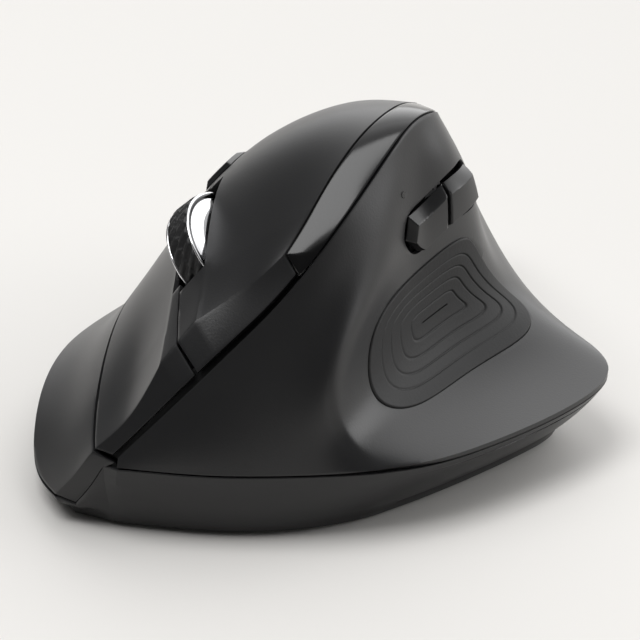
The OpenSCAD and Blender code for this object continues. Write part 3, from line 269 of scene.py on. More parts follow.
finger_flat = np.array([
    [[8, -35, 46.5], [3, -37.5, 41], [-3.5, -42, 36.5], [-5.8, -46.3, 31.5], [-8.5, -51, 27],
     [-11, -54.8, 19.5], [-15.3, -57.5, 14.7], [-18, -59, 9.5], [-22, -59, 5]],
    [[9, -30, 50.5], [2, -31, 45.5], [-5.5, -34.5, 39.5], [-8.5, -38.5, 34.5], [-11.5, -42.5, 30],
     [-14.5, -47, 21.5], [-18.5, -52, 16], [-22.5, -55, 10], [-29.5, -54, 4.5]],
    [[9.5, -23.5, 55.5], [0.5, -23.5, 50], [-8, -26.5, 43], [-11.5, -30, 38], [-15, -33.5, 33],
     [-18.5, -38, 24.5], [-22.3, -44.5, 18], [-27, -48, 11.5], [-34.5, -46.5, 7.5]],
    [[10.5, -14, 60.5], [-0.5, -14.5, 55.5], [-11, -17, 46.5], [-15.5, -20.5, 41], [-19.5, -23.5, 35.5],
     [-23.5, -27.5, 27], [-27.5, -32.5, 20], [-33, -35.5, 13], [-41, -33.5, 9.2]],
    [[11.5, -3, 61.5], [-1.5, -4, 57.5], [-13, -7.5, 49], [-18.5, -10, 43.5], [-23, -12.5, 37.5],
     [-27.5, -16, 29], [-31.5, -20.5, 21.5], [-36.5, -22.5, 14.5], [-44.5, -20, 10]],
    [[8.5, 8, 56], [-3, 7.5, 53.5], [-14.5, 5, 47], [-20.5, 3, 41.5], [-25.5, 1, 35.5],
     [-30.5, -2, 28], [-34, -5.5, 21], [-37.5, -6.5, 14.5], [-43.5, -5, 9.5]],
    [[3.5, 18.5, 50.5], [-6.3, 18.5, 49], [-16, 17.5, 44], [-22, 16.5, 38.5], [-27, 15, 32.5],
     [-31.5, 13, 26], [-35, 11.5, 20], [-38, 11, 14.5], [-42, 12, 9.5]],
    [[-4.8, 30, 43], [-11.5, 30.5, 42], [-18.5, 30.5, 38], [-23.5, 30, 33.5], [-27.8, 29, 28.5],
     [-31.5, 28, 23.5], [-34.5, 27.5, 19], [-36.5, 27.5, 14.5], [-39, 28.5, 9.5]],
    [[-9, 41.8, 34], [-14, 42.5, 33], [-19, 42.8, 30], [-22.3, 42.8, 27], [-25.3, 42.5, 23.5],
     [-28, 42.3, 20], [-30, 42.2, 17], [-31.5, 42.3, 13.5], [-32.5, 43, 9.8]],
    [[-11, 51.8, 23.5], [-13.5, 52.4, 22], [-16, 52.7, 20.3], [-18, 52.6, 18.8], [-19.8, 52.5, 17.3],
     [-21.2, 52.5, 15.8], [-22.2, 52.5, 14.2], [-22.9, 52.7, 12.6], [-23.2, 53, 11]],
    row([-11, 57.07, 14], [-14, 57.07, 12], 9, [0, 0, 0])])
# The finger face swells out of its flat net, most in its upper middle
swell_rows = np.array([0, 0, 0.3, 1, 1.45, 1.4, 1, 0.5, 0, 0, 0])
swell_cols = np.array([0.15, 0.95, 1, 0.9, 0.75, 0.6, 0.3, 0, 0])
finger_net = finger_flat + np.multiply.outer(np.outer(swell_rows, swell_cols), [-0.56, -0.12, 0.82])
nose_line = np.array([[-12.6, -57, 13.8], [-15, -58.6, 8.5], [-18.5, -58.2, 4]])
thumb_foot = np.array([[-12, -56.4], [2, -52], [11.5, -46.8], [18.5, -41], [23, -35], [24, -33.4],
                       [25, -31.4], [28.5, -24], [32.5, -13.5], [36.5, -1], [38.5, 9], [31, 15.5],
                       [20, 23.5], [7, 34.5], [-1.5, 45], [-7, 55.5]])
finger_foot = np.array([[-20, -57.2], [-26, -53.8], [-31, -46.4], [-36.5, -33.5], [-39.5, -20], [-39.5, -5.5],
                        [-38, 11], [-35, 27], [-29.5, 41], [-21, 50.8], [-14, 55]])
shift = np.array([-0.93, 0.81, 0])


def weights(f):
    """Shares of four neighbouring points in a smooth cubic, at fractions f between the middle two."""
    cubics = [(1 - f) ** 3, 3 * f ** 3 - 6 * f ** 2 + 4, -3 * f ** 3 + 3 * f ** 2 + 3 * f + 1, f ** 3]
    return np.stack(cubics, -1) / 6


def basis(t, n):
    """First control point and the four weights of a cubic along n control points, at each place t."""
    t = np.clip(t, 0, n - 1)
    i = np.minimum(np.floor(t), n - 2).astype(int)
    return i, weights(t - i)


def curve(points, t):
    """Places on a smooth curve that starts and ends on its end points."""
    i, w = basis(np.asarray(t, float), len(points))
    longer = np.concatenate([2 * points[:1] - points[1:2], points, 2 * points[-1:] - points[-2:-1]])
    return np.einsum("ka,ka...->k...", w, longer[i[:, None] + np.arange(4)])


def face(net, a, b):
    """Points of an outer face at rows a and columns b."""
    rows = curve(net, a)
    i, w = basis(b, net.shape[1])
    longer = np.concatenate([2 * rows[:, :1] - rows[:, 1:2], rows, 2 * rows[:, -1:] - rows[:, -2:-1]], axis=1)
    return np.einsum("ka,kac->kc", w, longer[np.arange(len(i))[:, None], i[:, None] + np.arange(4)])


def unit(v):
    """Directions of length one."""
    return v / np.linalg.norm(v, axis=-1, keepdims=True)


def outward(net, a, b, h=0.02):
    """Directions out of the mouse at points of an outer face."""
    down_rows = face(net, a + h, b) - face(net, a - h, b)
    along_row = face(net, a, b + h) - face(net, a, b - h)
    return unit(np.cross(down_rows, along_row))


def sheet(bm, rows, cols, shape, keep=None):
    """A grid of faces over the given row and column values, moved to the points that shape gives for them."""
    made = bmesh.ops.create_grid(bm, x_segments=len(rows) - 1, y_segments=len(cols) - 1, size=0.5)["verts"]
    flat = np.array([v.co[:2] for v in made]) + 0.5
    a = np.interp(flat[:, 0], np.linspace(0, 1, len(rows)), rows)
    b = np.interp(flat[:, 1], np.linspace(0, 1, len(cols)), cols)
    if keep:
        at = {v: (p, q) for v, p, q in zip(made, a, b)}
        faces = {f for v in made for f in v.link_faces}
        off = [f for f in faces if not keep(*np.mean([at[v] for v in f.verts], axis=0))]
    for v, p in zip(made, shape(a, b)):
        v.co = (p + shift) * MM
    if keep:
        bmesh.ops.delete(bm, geom=off, context="FACES")


def piece(name, bm, made, body, slot, *nodes, wall=0, edge=0):
    """A piece that rides on a body and stands for CAD nodes, with an optional wall and rounded edges."""
    bmesh.ops.remove_doubles(bm, verts=bm.verts, dist=0.001 * MM)
    mesh = bpy.data.meshes.new(name)
    bm.to_mesh(mesh)
    bm.free()
    mesh.materials.append(made)
    mesh.polygons.foreach_set("use_smooth", [True] * len(mesh.polygons))
    built = bpy.data.objects.new(name, mesh)
    bpy.context.collection.objects.link(built)
    if wall:
        thick = built.modifiers.new("wall", "SOLIDIFY")
        thick.thickness = wall * MM
        thick.offset = -1
        thick.use_even_offset = True
    if edge:
        soft = built.modifiers.new("edge", "BEVEL")
        soft.width = edge * MM
        soft.segments = 2
        soft.limit_method = "ANGLE"
        soft.angle_limit = math.radians(20)
        built.modifiers.new("normals", "WEIGHTED_NORMAL").keep_sharp = True
    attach(built, body)
    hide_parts(*nodes)


# Soft-touch coat over ABS: near-black, very fine grain, a broad dull sheen
soft_touch = moulded("soft_touch_coat", "#232324", 0.34, 0.35, 0.015)

thumb_top = 6.97
nose_u, tail_u, tail_p = 0.03, 14.97, 9.97
shell_wall, skirt_wall, rim_gap, lip_gap = 0.9, 1.8, 0.3, 0.9
plate_low, plate_top = 0.8, 2.8
lip_qs = [0, 1, 2, 3, 4, 5, 6]
lip_us = [3.27, 2.6, 1.94, 1.43, 0.99, 0.48, 0]


def lip_low(q):
    """Lower edge of the front lips: a gap away from the thumb shell, then down the nose."""
    edge = face(thumb_net, np.interp(q, lip_qs, lip_us), np.full(len(q), thumb_top))
    above = face(finger_net, np.zeros(len(q)), q)
    return np.where((q > 6)[:, None], curve(nose_line, q - 6), edge + unit(above - edge) * lip_gap)


def skin(p, q):
    """Finger face with the front lips below its front edge, down to p = -1."""
    top = face(finger_net, np.maximum(p, 0), q)
    return top + (lip_low(q) - top) * np.maximum(-p, 0)[:, None]


us = np.linspace(nose_u, tail_u, 150)
ps = np.linspace(tail_p, 0, 110)
nose_r = np.concatenate([np.linspace(-0.2, -1, 5), np.full(12, -1.0)])
nose_q = np.concatenate([np.full(5, 8.0), np.linspace(7.9, 6.3, 12)])
rim = np.concatenate([face(thumb_net, us, 0 * us), face(finger_net, ps, 0 * ps + 8), skin(nose_r, nose_q)])
drop = np.concatenate([np.maximum(0, outward(thumb_net, us, 0 * us + 0.05)[:, 2]),
                       np.maximum(0, outward(finger_net, ps, 0 * ps + 7.95)[:, 2]), 0 * nose_r])
rim[:, 2] -= shell_wall * drop + rim_gap / 2
across = np.linspace(0, 1, len(nose_r) + 2)[1:-1, None]
foot = np.concatenate([curve(thumb_foot, us), curve(finger_foot, ps),
                       finger_foot[0] + (thumb_foot[0] - finger_foot[0]) * across])


def inset(loop, d):
    """A loop moved inward in the plane."""
    along = unit(np.roll(loop, -1, axis=0)[:, :2] - np.roll(loop, 1, axis=0)[:, :2])
    return loop[:, :2] + np.stack([-along[:, 1], along[:, 0]], -1) * d


def raised(loop, z):
    """A flat loop set to its heights."""
    return np.column_stack([loop[:, :2], np.broadcast_to(z, len(loop))])


bay_x, bay_half = -15, 6.9
skirt_swell, foot_round = 0.6, 1.7
groove_deep, groove_u, groove_run = 0.3, 9.5, 1.8
foot_z = plate_low + foot_round
over_door = (np.abs(foot[:, 0] - bay_x) < bay_half) & (foot[:, 1] > 0)
low_z = np.where(over_door, plate_top + rim_gap, plate_low)
rings = [raised(inset(rim, skirt_wall), rim[:, 2]), raised(inset(rim, 0.1), rim[:, 2])]
# A fine groove runs round the flange, 1.5 mm below its seam
groove = np.concatenate([groove_deep * np.exp(-((us - groove_u) / groove_run) ** 2), 0 * ps, 0 * nose_r])
tall = rim[:, 2] - foot_z
for below, cut in [(0.15, 0), (1.3, 0), (1.4, 1), (1.65, 1), (1.75, 0)]:
    t = np.minimum(below / tall, 0.12 * below)[:, None]
    swell = inset(rim[:, :2] * (1 - t) + foot * t, (cut * groove)[:, None] - skirt_swell * 4 * t * (1 - t))
    rings.append(raised(swell, rim[:, 2] - t[:, 0] * tall))
for t in np.linspace(0.28, 1, 8):
    swell = inset(rim[:, :2] * (1 - t) + foot * t, -skirt_swell * 4 * t * (1 - t))
    rings.append(raised(swell, np.maximum(rim[:, 2] * (1 - t) + foot_z * t, low_z + 0.4)))
rings += [raised(inset(foot, 0.25), low_z + 0.6 * (foot_z - low_z).clip(0)),
          raised(inset(foot, 0.8), low_z), raised(inset(foot, skirt_wall), low_z)]
rings = np.array(rings)
bm = bmesh.new()
n_loop, n_ring = len(rim), len(rings)
sheet(bm, np.arange(n_loop + 1), np.arange(n_ring + 1)[::-1],
      lambda a, b: rings[b.round().astype(int) % n_ring, a.round().astype(int) % n_loop])
piece("base_skirt_wall", bm, soft_touch, "housing", "base_black", "base_skirt", edge=0.2)


# Scroll wheel: a black rubber tyre with slanted tread blocks between two polished, dished rims, pressed on
# the hub that turns on a steel axle in the carrier.
def joint(name):
    """The joint of that name in the frame."""
    return next(j for j in frame["joints"] if j["name"] == name)


spin, press = joint("wheel_spin"), joint("wheel_press")
wheel_c = np.array(spin["pos_m"]) / MM - shift
wx = unit(np.array(spin["axis"]))
wz = -unit(np.array(press["axis"]))
wy = np.cross(wz, wx)
wheel_r, tyre_w, axle_r = 10.8, 4.8, 1.5
tread, tread_deep, tread_slant = 30, 0.45, 1.15


def about_axle(x, r, angle):
    """Points at a place along the axle, a radius and an angle round it."""
    return wheel_c + x[:, None] * wx + (r * np.cos(angle))[:, None] * wy + (r * np.sin(angle))[:, None] * wz


half_x = np.array([0.1, 0.25, 0.4, 0.55, 0.7, 0.86, 0.96, 1, 1])
half_fall = np.array([0, 0, 0, 0, 0, 0.08, 0.3, 0.7, 2.2])
tyre_x = np.concatenate([-half_x[::-1], half_x]) * tyre_w / 2
tyre_fall = np.concatenate([half_fall[::-1], half_fall])


def tyre_shape(a, b):
    """Tyre profile turned round the axle, with slanted grooves that are staggered between its two halves."""
    k = b.round().astype(int) % len(tyre_x)
    x = tyre_x[k]
    turn = a * 2 * math.pi
    stagger = np.where(x > 0, 0.35 * math.pi, 0)
    wave = np.cos(tread * turn + tread_slant * 2 * x + stagger)
    cut = np.clip((wave + 0.1) / 0.5, 0, 1) * np.clip((tyre_w / 2 - np.abs(x)) / 0.35 - 0.2, 0, 1)
    return about_axle(x, wheel_r - tyre_fall[k] - tread_deep * cut, turn)


bm = bmesh.new()
sheet(bm, np.linspace(0, 1, tread * 12 + 1), np.arange(len(tyre_x) + 1), tyre_shape)
# Tyre rubber: deep matt black with a slight dusty bloom
tyre_rubber = moulded("tyre_rubber", "#1a1a1b", 0.5, 0.4, 0.03)
piece("scroll_tyre", bm, tyre_rubber, "wheel", "tyre_rubber", "wheel_tyre")

# Polished chrome on moulded rims: a mirror with faint waviness
chrome, tree = material("polished_chrome")
place = add(tree, "TexCoord", {}).outputs["Object"]
wave = add(tree, "TexNoise", {"Vector": place, "Scale": 1 / (3 * MM), "Detail": 1})
gloss = add(tree, "MapRange", {"Value": wave.outputs["Fac"], "To Min": 0.04, "To Max": 0.1})
shader = add(tree, "BsdfPrincipled", {"Base Color": linear("#ececee"), "Metallic": 1,
                                      "Roughness": gloss.outputs[0]})
add(tree, "OutputMaterial", {"Surface": shader.outputs[0]})
# Each rim has a thin bead beside the tyre, a groove, and a flank that leans up toward the light
rim_x = np.array([2.3, 2.3, 2.6, 2.75, 2.6, 2.4, 2.5, 2.72, 2.92, 3.1, 3.2, 3.2, 2.9, 2.9, 2.3])
rim_r = np.array([axle_r, 10.45, 10.6, 10.35, 9.8, 9.55, 9.35, 8.75, 8.2, 7.65, 7.2, 3.2, 3, axle_r, axle_r])
bm = bmesh.new()
for side in (1, -1):
    sheet(bm, np.linspace(0, 1, 145), np.arange(len(rim_x) + 1),
          lambda a, b: about_axle(side * rim_x[b.round().astype(int) % len(rim_x)],
                                  rim_r[b.round().astype(int) % len(rim_x)], side * a * 2 * math.pi))
piece("scroll_rims", bm, chrome, "wheel", "rim_chrome", "wheel_rims")

# Main buttons: two soft-touch skins over the index and middle finger, each clipped to its lever, with a
# bevelled front lip, parted in the channel of the wheel.
seam_gap, outer_seam, slot_half = 0.35, 1.6, 3.7
# On the finger face, rows p run from the front edge to the tail, columns q from the spine to the rim; a row
# step is rear_mm long behind the wheel
wheel_p, rear_mm = 2.83, 12
wheel_out, wheel_travel, wheel_side, slot_deep = 4.2, 0.6, 0.5, 1.8
rear_run, notch_reach, notch_lean, rear_land = 18.34, 2.9, 0.69, 1.07
outer_q, strip_q = 6.08, 0.01
lip_end, row_step = -0.93, 0.09
button_wall, skin_edge = 0.8, 0.25


def q_mm(p):
    """Millimetres per column step across the wheel channel."""
    return np.interp(p, [1.7, 2.5, 3, 3.95], [6.7, 7.2, 7.5, 8])


def channel_q(p, x):
    """Columns that lie x along the axle from the wheel's middle, reached in a few steps."""
    q = 0 * p + 3.3
    for _ in range(5):
        q = q + ((face(finger_net, p, q) - wheel_c) @ wx - x) / q_mm(p)
    return q


def row_at(y, x=0):
    """Row of the finger face that lies y behind the wheel's middle and x along the axle, in a few steps."""
    p = np.array([wheel_p])
    for _ in range(6):
        p = p + (y - (face(finger_net, p, channel_q(p, x)) - wheel_c) @ wy) / rear_mm
    return p[0]


def slot_rows(x):
    """First and last row of a wheel slot that clears the tyre when it is pressed."""
    ends = [(row_at(y), row_at(y, x)) for y in (-slot_reach, slot_reach)]
    return min(ends[0]), max(ends[1])


slot_reach = math.sqrt(wheel_r ** 2 - (wheel_r - wheel_out - slot_deep) ** 2) + wheel_travel + wheel_side
wheel_slots = {"left": slot_rows(slot_half), "right": slot_rows(-slot_half)}
# Notch of the small rear button, and behind it a short land up to the rear end of the main buttons
notch_p = row_at(rear_run)
notch = (notch_p - notch_reach / rear_mm, notch_p + (notch_reach + notch_lean) / rear_mm)
rear_p = notch[1] + rear_land / rear_mm


def seam_q(p):
    """Column of the seam between the two buttons."""
    return np.interp(p, [-1, 0, 0.82, 1.6, 1.95, 3.5, 5], [2.95, 2.97, 3.27, 3.5, 3.5, 3.3, 3.3])


def dished(p, q, s):
    """Button face hollowed for a fingertip; s runs from the line at the channel (0) to the far edge (1)."""
    deepest = np.interp(p, [-1, 0, 1.2, 2, 4, 4.6], [0, 0.8, 0.45, 0.4, 0.35, 0])
    deep = deepest * np.sin(math.pi * np.clip(s, 0, 1) ** 0.7)
    return skin(p, q) - outward(finger_net, np.maximum(p, 0.03), np.maximum(q, 0.03)) * deep[:, None]


def seam_at(p):
    """Seams widen over the lips, which move across them when a button is pressed."""
    return seam_gap * (1 + 0.8 * np.maximum(0, 0.3 - p))


def button_rows(slot):
    """Row values of a button, with rows on the ends of the wheel slot and of the rear notch."""
    ends = [lip_end, 0, slot[0], slot[1], notch[0], notch[1], rear_p - seam_gap / rear_mm]
    parts = [np.linspace(a, b, max(2, int((b - a) / row_step)) + 1)[:-1] for a, b in zip(ends, ends[1:])]
    return np.concatenate(parts + [ends[-1:]])


def open_rows(p, slot):
    """True where a row crosses the wheel slot or the notch."""
    return slot[0] < p < slot[1] or notch[0] < p < notch[1]


# Left button: from the spine strip to the wheel slot, then on to the seam in the channel
def left_shape(p, t):
    edge = channel_q(p, slot_half)
    seam = seam_q(p) - seam_at(p) / 2 / q_mm(p)
    return dished(p, np.where(t < 1, strip_q + (edge - strip_q) * t, edge + (seam - edge) * (t - 1)), 1 - t)


bm = bmesh.new()
left_cols = np.concatenate([np.linspace(0, 1, 31), np.linspace(1, 2, 9)[1:]])
sheet(bm, button_rows(wheel_slots["left"]), left_cols, left_shape,
      lambda p, t: not (t > 1 and open_rows(p, wheel_slots["left"])))
piece("left_button_skin", bm, soft_touch, "left_button", "satin_button", "left_button", wall=button_wall,
      edge=skin_edge)


# Right button: from the seam to the wheel slot, then over the finger dish to its outer seam
def right_shape(p, t):
    seam = seam_q(p) + seam_at(p) / 2 / q_mm(p)
    edge = channel_q(p, -slot_half)
    last = outer_q - outer_seam * seam_at(p) / q_mm(p)
    return dished(p, np.where(t < 1, seam + (edge - seam) * t, edge + (last - edge) * (t - 1)), t - 1)


bm = bmesh.new()
right_cols = np.concatenate([np.linspace(0, 1, 9), np.linspace(1, 2, 31)[1:]])
sheet(bm, button_rows(wheel_slots["right"]), right_cols, right_shape,
      lambda p, t: not (t < 1 and open_rows(p, wheel_slots["right"])))
piece("right_button_skin", bm, soft_touch, "right_button", "satin_button", "right_button", wall=button_wall,
      edge=skin_edge)

# Small button behind the wheel: a smooth black key, chamfered all round, that fills its notch and slides on
# a stem in the chassis.
rear_half, rear_room, rear_chamfer = 3.15, 0.4, 0.8
rear_foot, rear_rise, key_edge = 0.1, 0.8, 0.12
rear_ends = (notch[0] + rear_room / rear_mm, notch[1] - rear_room / rear_mm)


def rear_key(p, t):
    """Key face between its ends; it rises over a chamfer on all four sides."""
    q = channel_q(p, rear_half * (1 - 2 * t))
    inward = np.minimum.reduce([(p - rear_ends[0]) * rear_mm, (rear_ends[1] - p) * rear_mm,
                                2 * rear_half * t, 2 * rear_half * (1 - t)])
    slope = np.minimum(inward / rear_chamfer, 1)
    return face(finger_net, p, q) + outward(finger_net, p, q) * (rear_foot + rear_rise * slope)[:, None]


bm = bmesh.new()
sheet(bm, np.linspace(*rear_ends, 25), np.linspace(0, 1, 25), rear_key)
# Smooth moulded key, a little glossier than the skins
key_black = moulded("key_abs", "#1c1c1d", 0.3, 0.5, 0.02)
piece("rear_button_key", bm, key_black, "rear_button", "satin_button", "rear_button", wall=1.2, edge=key_edge)

# Palm shell: soft-touch moulding under the palm and round the finger side, screwed to the base. It frames
# the two buttons and ends in the nose facet.
nose_reach = 0.5
palm_rows = np.concatenate([np.linspace(-1, 0, 7)[:-1], np.linspace(0, rear_p, 60),
                            np.linspace(rear_p, tail_p, 70)[1:]])
palm_cols = np.concatenate([np.linspace(strip_q, outer_q, 60), np.linspace(outer_q, 8, 26)[1:]])


def palm_shape(p, q):
    """Finger face; the nose facet reaches a little further beside the tip of the thumb shell."""
    further = 1 + nose_reach * np.clip((6.4 - q) / 0.3, 0, 1)
    return skin(np.where(p < 0, p * further, p), q)


bm = bmesh.new()
sheet(bm, palm_rows, palm_cols, palm_shape, lambda p, q: p > rear_p or q > outer_q)
piece("palm_shell_skin", bm, soft_touch, "housing", "soft_touch_shell", "palm_shell", wall=shell_wall,
      edge=skin_edge)

# Thumb shell: soft-touch moulding of the thumb side with its flange. It has an opening for the two side
# buttons and a shallow recess that the thumb pad is glued into.
pad_corners = np.array([[7.8, 4.14], [6.8, 3.92], [6.1, 3.4], [6.3, 2.6], [6.5, 1.6], [7.1, 1.26],
                        [8.2, 1.62], [9.55, 1.82], [9.85, 2.2], [9.35, 2.8], [8.85, 3.6], [8.6, 4.25]])
side_corners = np.array([[6.22, 5.05], [6.3, 5.38], [6.9, 5.47], [7.8, 5.6], [8.5, 5.66], [9.08, 5.73],
                         [9.24, 5.45], [9.25, 4.95], [9.18, 4.62], [8.5, 4.6], [8.05, 4.6], [7.5, 4.45],
                         [7.1, 4.37], [6.85, 4.43], [6.5, 4.66], [6.27, 4.85]])
pad_centre, side_centre = np.array([7.8, 2.75]), np.array([7.7, 5.02])
pad_deep, pad_clear = 1.0, 1.012


def around(corners, t):
    """A smooth closed outline near its corner points; t runs once round from 0 to 1."""
    n = len(corners)
    t = np.asarray(t) * n
    i = np.floor(t).astype(int)
    w = weights(t - i)
    return sum(w[:, k, None] * corners[(i + k - 1) % n] for k in range(4))


def facing(corners, centre, places):
    """Outline points that lie in the same direction from the centre as the given places."""
    line = around(corners, np.linspace(0, 1, 900, endpoint=False)) - centre
    angle = np.arctan2(line[:, 1], line[:, 0])
    order = np.argsort(angle)
    want = np.arctan2(places[:, 1] - centre[1], places[:, 0] - centre[0])
    reach = [np.interp(want, angle[order], line[order, k], period=2 * math.pi) for k in (0, 1)]
    return centre + np.column_stack(reach)


# The rows of the patch round the pad and the side buttons, and the grid steps of each zone from rim to spine
patch_u = (5.45, 10.35)
patch_rows = np.linspace(*patch_u, 57)
u_rows = np.concatenate([np.linspace(nose_u, patch_u[0], 60)[:-1], patch_rows,
                         np.linspace(patch_u[1], tail_u, 50)[1:]])
zone_steps = (10, 30, 16, 12)
zones = [np.linspace(k, k + 1, n + 1)[:-1] for k, n in enumerate(zone_steps)]
w_cols = np.concatenate(zones + [[len(zone_steps)]])


def thumb_v(u, w):
    """Column for zone value w, from the rim over the pad's and the buttons' zones to the spine."""
    knots = [0 * u, 0 * u + 1, np.interp(u, patch_u, [4.12, 4.62]), 0 * u + 5.85, 0 * u + thumb_top]
    k = np.clip(np.floor(w).astype(int), 0, len(knots) - 2)
    low, high = np.choose(k, knots[:-1]), np.choose(k, knots[1:])
    return low + (high - low) * (w - k)


def thumb_point(u, v, out=0):
    """Points at a height out of the thumb side."""
    at = face(thumb_net, u, v)
    return at + outward(thumb_net, u, v) * np.reshape(out, (-1, 1)) if np.any(out) else at


def window(zone):
    """Border of one zone of the patch, once round: surface coordinates of the grid points on it."""
    u = patch_rows
    w = np.linspace(zone, zone + 1, zone_steps[zone] + 1)
    us = np.concatenate([u, 0 * w[1:] + patch_u[1], u[::-1][1:], 0 * w[1:] + patch_u[0]])
    ws = np.concatenate([0 * u + zone, w[1:], 0 * u[1:] + zone + 1, w[::-1][1:]])
    inner = np.where(ws >= zone + 1, zone + 1 - 1e-9, ws)
    return np.column_stack([us, thumb_v(us, inner)])


def collar(bm, zone, corners, centre, stations):
    """Fills a zone round an outline; each station is a place from the centre (0) over the outline (1) to the
    border (2), and a height above the face."""
    border = window(zone)
    line = facing(corners, centre, border)
    place, height = np.array(stations).T

    def shape(a, b):
        i, k = a.round().astype(int), b.round().astype(int)
        t = place[k][:, None]
        at = np.where(t < 1, centre + (line[i] - centre) * t, line[i] + (border[i] - line[i]) * (t - 1))
        return thumb_point(at[:, 0], at[:, 1], height[k])

    sheet(bm, np.arange(len(border)), np.arange(len(place))[::-1], shape)


# A rib behind the gap under the front lips closes the view into the mouse; its middle, half width and depth
rib_middle, rib_half, rib_deep = 0.5, 2.3, 1.9
lip_facing = unit(np.array([0.13, -0.79, 0.6]))


def lip_rib(q, t):
    """Rib from the spine (q = 0) to the nose, set back from the lips and the upper edge of the shell."""
    u = np.interp(q, lip_qs, lip_us)
    edge = face(thumb_net, u, 0 * q + thumb_top)
    across = unit(face(finger_net, 0 * q, q) - edge)
    out = unit(outward(thumb_net, np.maximum(u, 0.1), 0 * q + 6.9) + lip_facing)
    return edge + across * (rib_middle + rib_half * t)[:, None] - out * rib_deep


bm = bmesh.new()
sheet(bm, u_rows, w_cols, lambda u, w: thumb_point(u, thumb_v(u, w)),
      lambda u, w: not (patch_u[0] < u < patch_u[1] and 1 < w < 3))
sheet(bm, np.linspace(0.1, 6, 60), np.linspace(1, -1, 7), lip_rib)
around_hole = [(t, 0) for t in np.linspace(1, 2, 9)]
recess = [(t, -pad_deep) for t in np.linspace(0, pad_clear, 8)] + [(pad_clear, 0)]
collar(bm, 1, pad_corners, pad_centre, recess + around_hole[1:])
collar(bm, 2, side_corners, side_centre, around_hole)
piece("thumb_shell_skin", bm, soft_touch, "housing", "soft_touch_shell", "thumb_shell", wall=shell_wall,
      edge=skin_edge)

# Thumb pad: a rubber inlay glued into the thumb shell, moulded with stepped contour lines round a short
# slot in its middle.
pad_bar = np.array([[7.5, 2.86], [8, 3]])
pad_rise, pad_step, pad_edge = 0.3, 0.09, 0.25
contours = (0.2, 0.4, 0.58, 0.76)
line_deep, line_width = 0.15, 0.012


def pad_shape(a, b):
    """Pad face from the slot (b = 0) to its outline (1), and below zero the flat back that is glued down."""
    line = around(pad_corners, a % 1)
    d = pad_bar[1] - pad_bar[0]
    along = np.clip((line - pad_bar[0]) @ d / (d @ d), 0, 1)[:, None]
    middle = pad_bar[0] + d * along
    t = np.abs(b)
    height = pad_rise - pad_step * sum(np.clip((c - t) / 0.02 + 0.5, 0, 1) for c in contours)
    height -= line_deep * sum(np.exp(-((t - c) / line_width) ** 2) for c in contours)
    height -= pad_edge * np.clip((t - 0.975) / 0.025, 0, 1) ** 2
    at = middle + (line - middle) * t[:, None]
    return thumb_point(at[:, 0], at[:, 1], np.where(b < 0, 0.1 - pad_deep, height))


bm = bmesh.new()
pad_rings = np.concatenate([[-0.01, -0.5, -0.999], np.linspace(1, 0.01, 130)])
sheet(bm, np.linspace(0, 1, 181), pad_rings, pad_shape)
# Soft rubber: blacker and more matt than the coat round it
pad_rubber = moulded("pad_rubber", "#0e0e0f", 0.6, 0.5, 0.03)
piece("thumb_pad_inlay", bm, pad_rubber, "housing", "pad_rubber", "thumb_pad")

# Spine strip: a gloss black acrylic inlay along the ridge, between the finger side and the thumb side,
# moulded with a slight crown and glued in.
strip_crown, strip_wall, strip_edge = 0.2, 0.3, 0.1
strip_rows = np.concatenate([np.linspace(-1, 0, 8)[:-1], np.linspace(0, tail_p, 150)])
# Row of the thumb side that lies across from each row of the finger side
strip_u = np.array([3.7, 4.1, 4.85, 6.1, 8, 10, 11, 12, 13, 14, 15])


def strip_shape(p, t):
    """Strip from the finger side (t = 0) to the thumb side (1), a seam away from each."""
    r = np.maximum(p, 0)
    a = skin(p, 0 * p)
    u = np.where(p < 0, strip_u[0] + 0.4 * p, curve(strip_u, r))
    b = face(thumb_net, u, 0 * p + 7)
    gap = seam_gap / np.linalg.norm(b - a, axis=1)
    s = (gap + (1 - 2 * gap) * t)[:, None]
    crown = unit(outward(finger_net, r, 0 * p + 0.2) + outward(thumb_net, curve(strip_u, r), 0 * p + 6.8))
    return a + (b - a) * s + crown * (strip_crown * 4 * t * (1 - t))[:, None]


bm = bmesh.new()
sheet(bm, strip_rows, np.linspace(1, 0, 15), strip_shape)
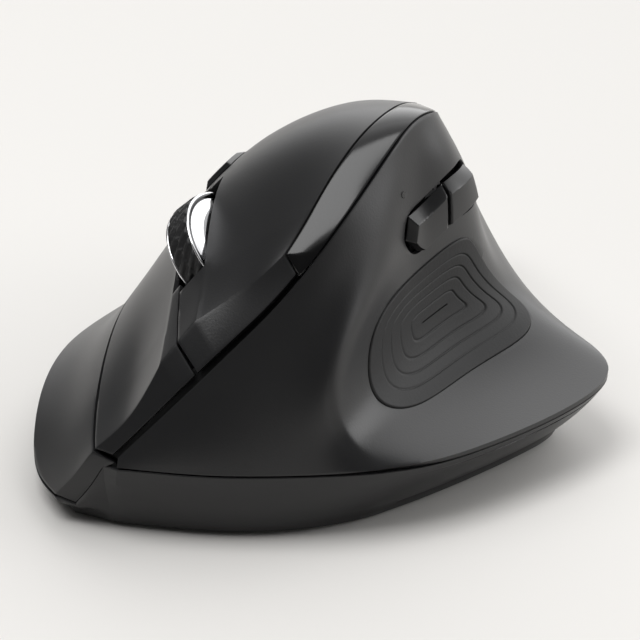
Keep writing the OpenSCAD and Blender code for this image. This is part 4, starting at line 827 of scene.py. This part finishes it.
# Polished acrylic: soft-edged reflections over a deep black
gloss_black = moulded("gloss_acrylic", "#0b0b0c", 0.16, 3, 0.004)
piece("spine_inlay", bm, gloss_black, "housing", "gloss_black", "spine_strip", wall=strip_wall,
      edge=strip_edge)

# Status light: a tiny round window beside the side buttons, moulded in smoked clear plastic and pressed into
# the thumb shell. It keeps its CAD solid.
dress(clear("light_window", "#2a2c2e"), "status_light")

# Side buttons: forward and back keys in satin plastic, with broad chamfers along their upper edge and outer
# ends, on stems in the opening of the thumb shell.
side_gap, side_rise, side_foot, side_wall = 0.5, 1.5, 0.1, 1
side_front, side_split, side_rear = 6.3, 7.85, 9.1
low_chamfer, high_chamfer, split_chamfer = 0.5, 2, 0.35
u_mm, v_mm = 8.5, 9
# Satin black plastic: smoother than the soft-touch coat, with a tight highlight
satin = moulded("satin_abs", "#1a1a1b", 0.28, 0.5, 0.01)


def side_low(u):
    """Lower edge of the two keys."""
    return np.interp(u, [side_front, 7.05, 8.05, side_rear], [4.8, 4.4, 4.6, 4.78])


def side_high(u):
    """Upper edge of the two keys."""
    return np.interp(u, [side_front, 7.8, 8.9], [5.35, 5.57, 5.6])


def side_button(name, u0, u1, front, rear):
    """One key between rows u0 and u1, with chamfers of these widths at its front and rear."""
    def shape(u, t):
        low, high = side_low(u) + side_gap / v_mm, side_high(u) - side_gap / v_mm
        v = low + (high - low) * t
        slope = np.minimum.reduce([(v - low) * v_mm / low_chamfer, (high - v) * v_mm / high_chamfer,
                                   (u - u0) * u_mm / front, (u1 - u) * u_mm / rear, 1 + 0 * u])
        return thumb_point(u, v, side_foot + (side_rise - side_foot) * slope)

    bm = bmesh.new()
    sheet(bm, np.linspace(u0, u1, 41), np.linspace(0, 1, 41), shape)
    piece(name + "_key", bm, satin, name, "gloss_black", name, wall=side_wall, edge=key_edge)


half_seam = seam_gap / 2 / u_mm
side_button("forward_button", side_front + side_gap / u_mm, side_split - half_seam, 1.9, split_chamfer)
side_button("back_button", side_split + half_seam, side_rear - 1.3 * side_gap / u_mm, split_chamfer, 1.6)
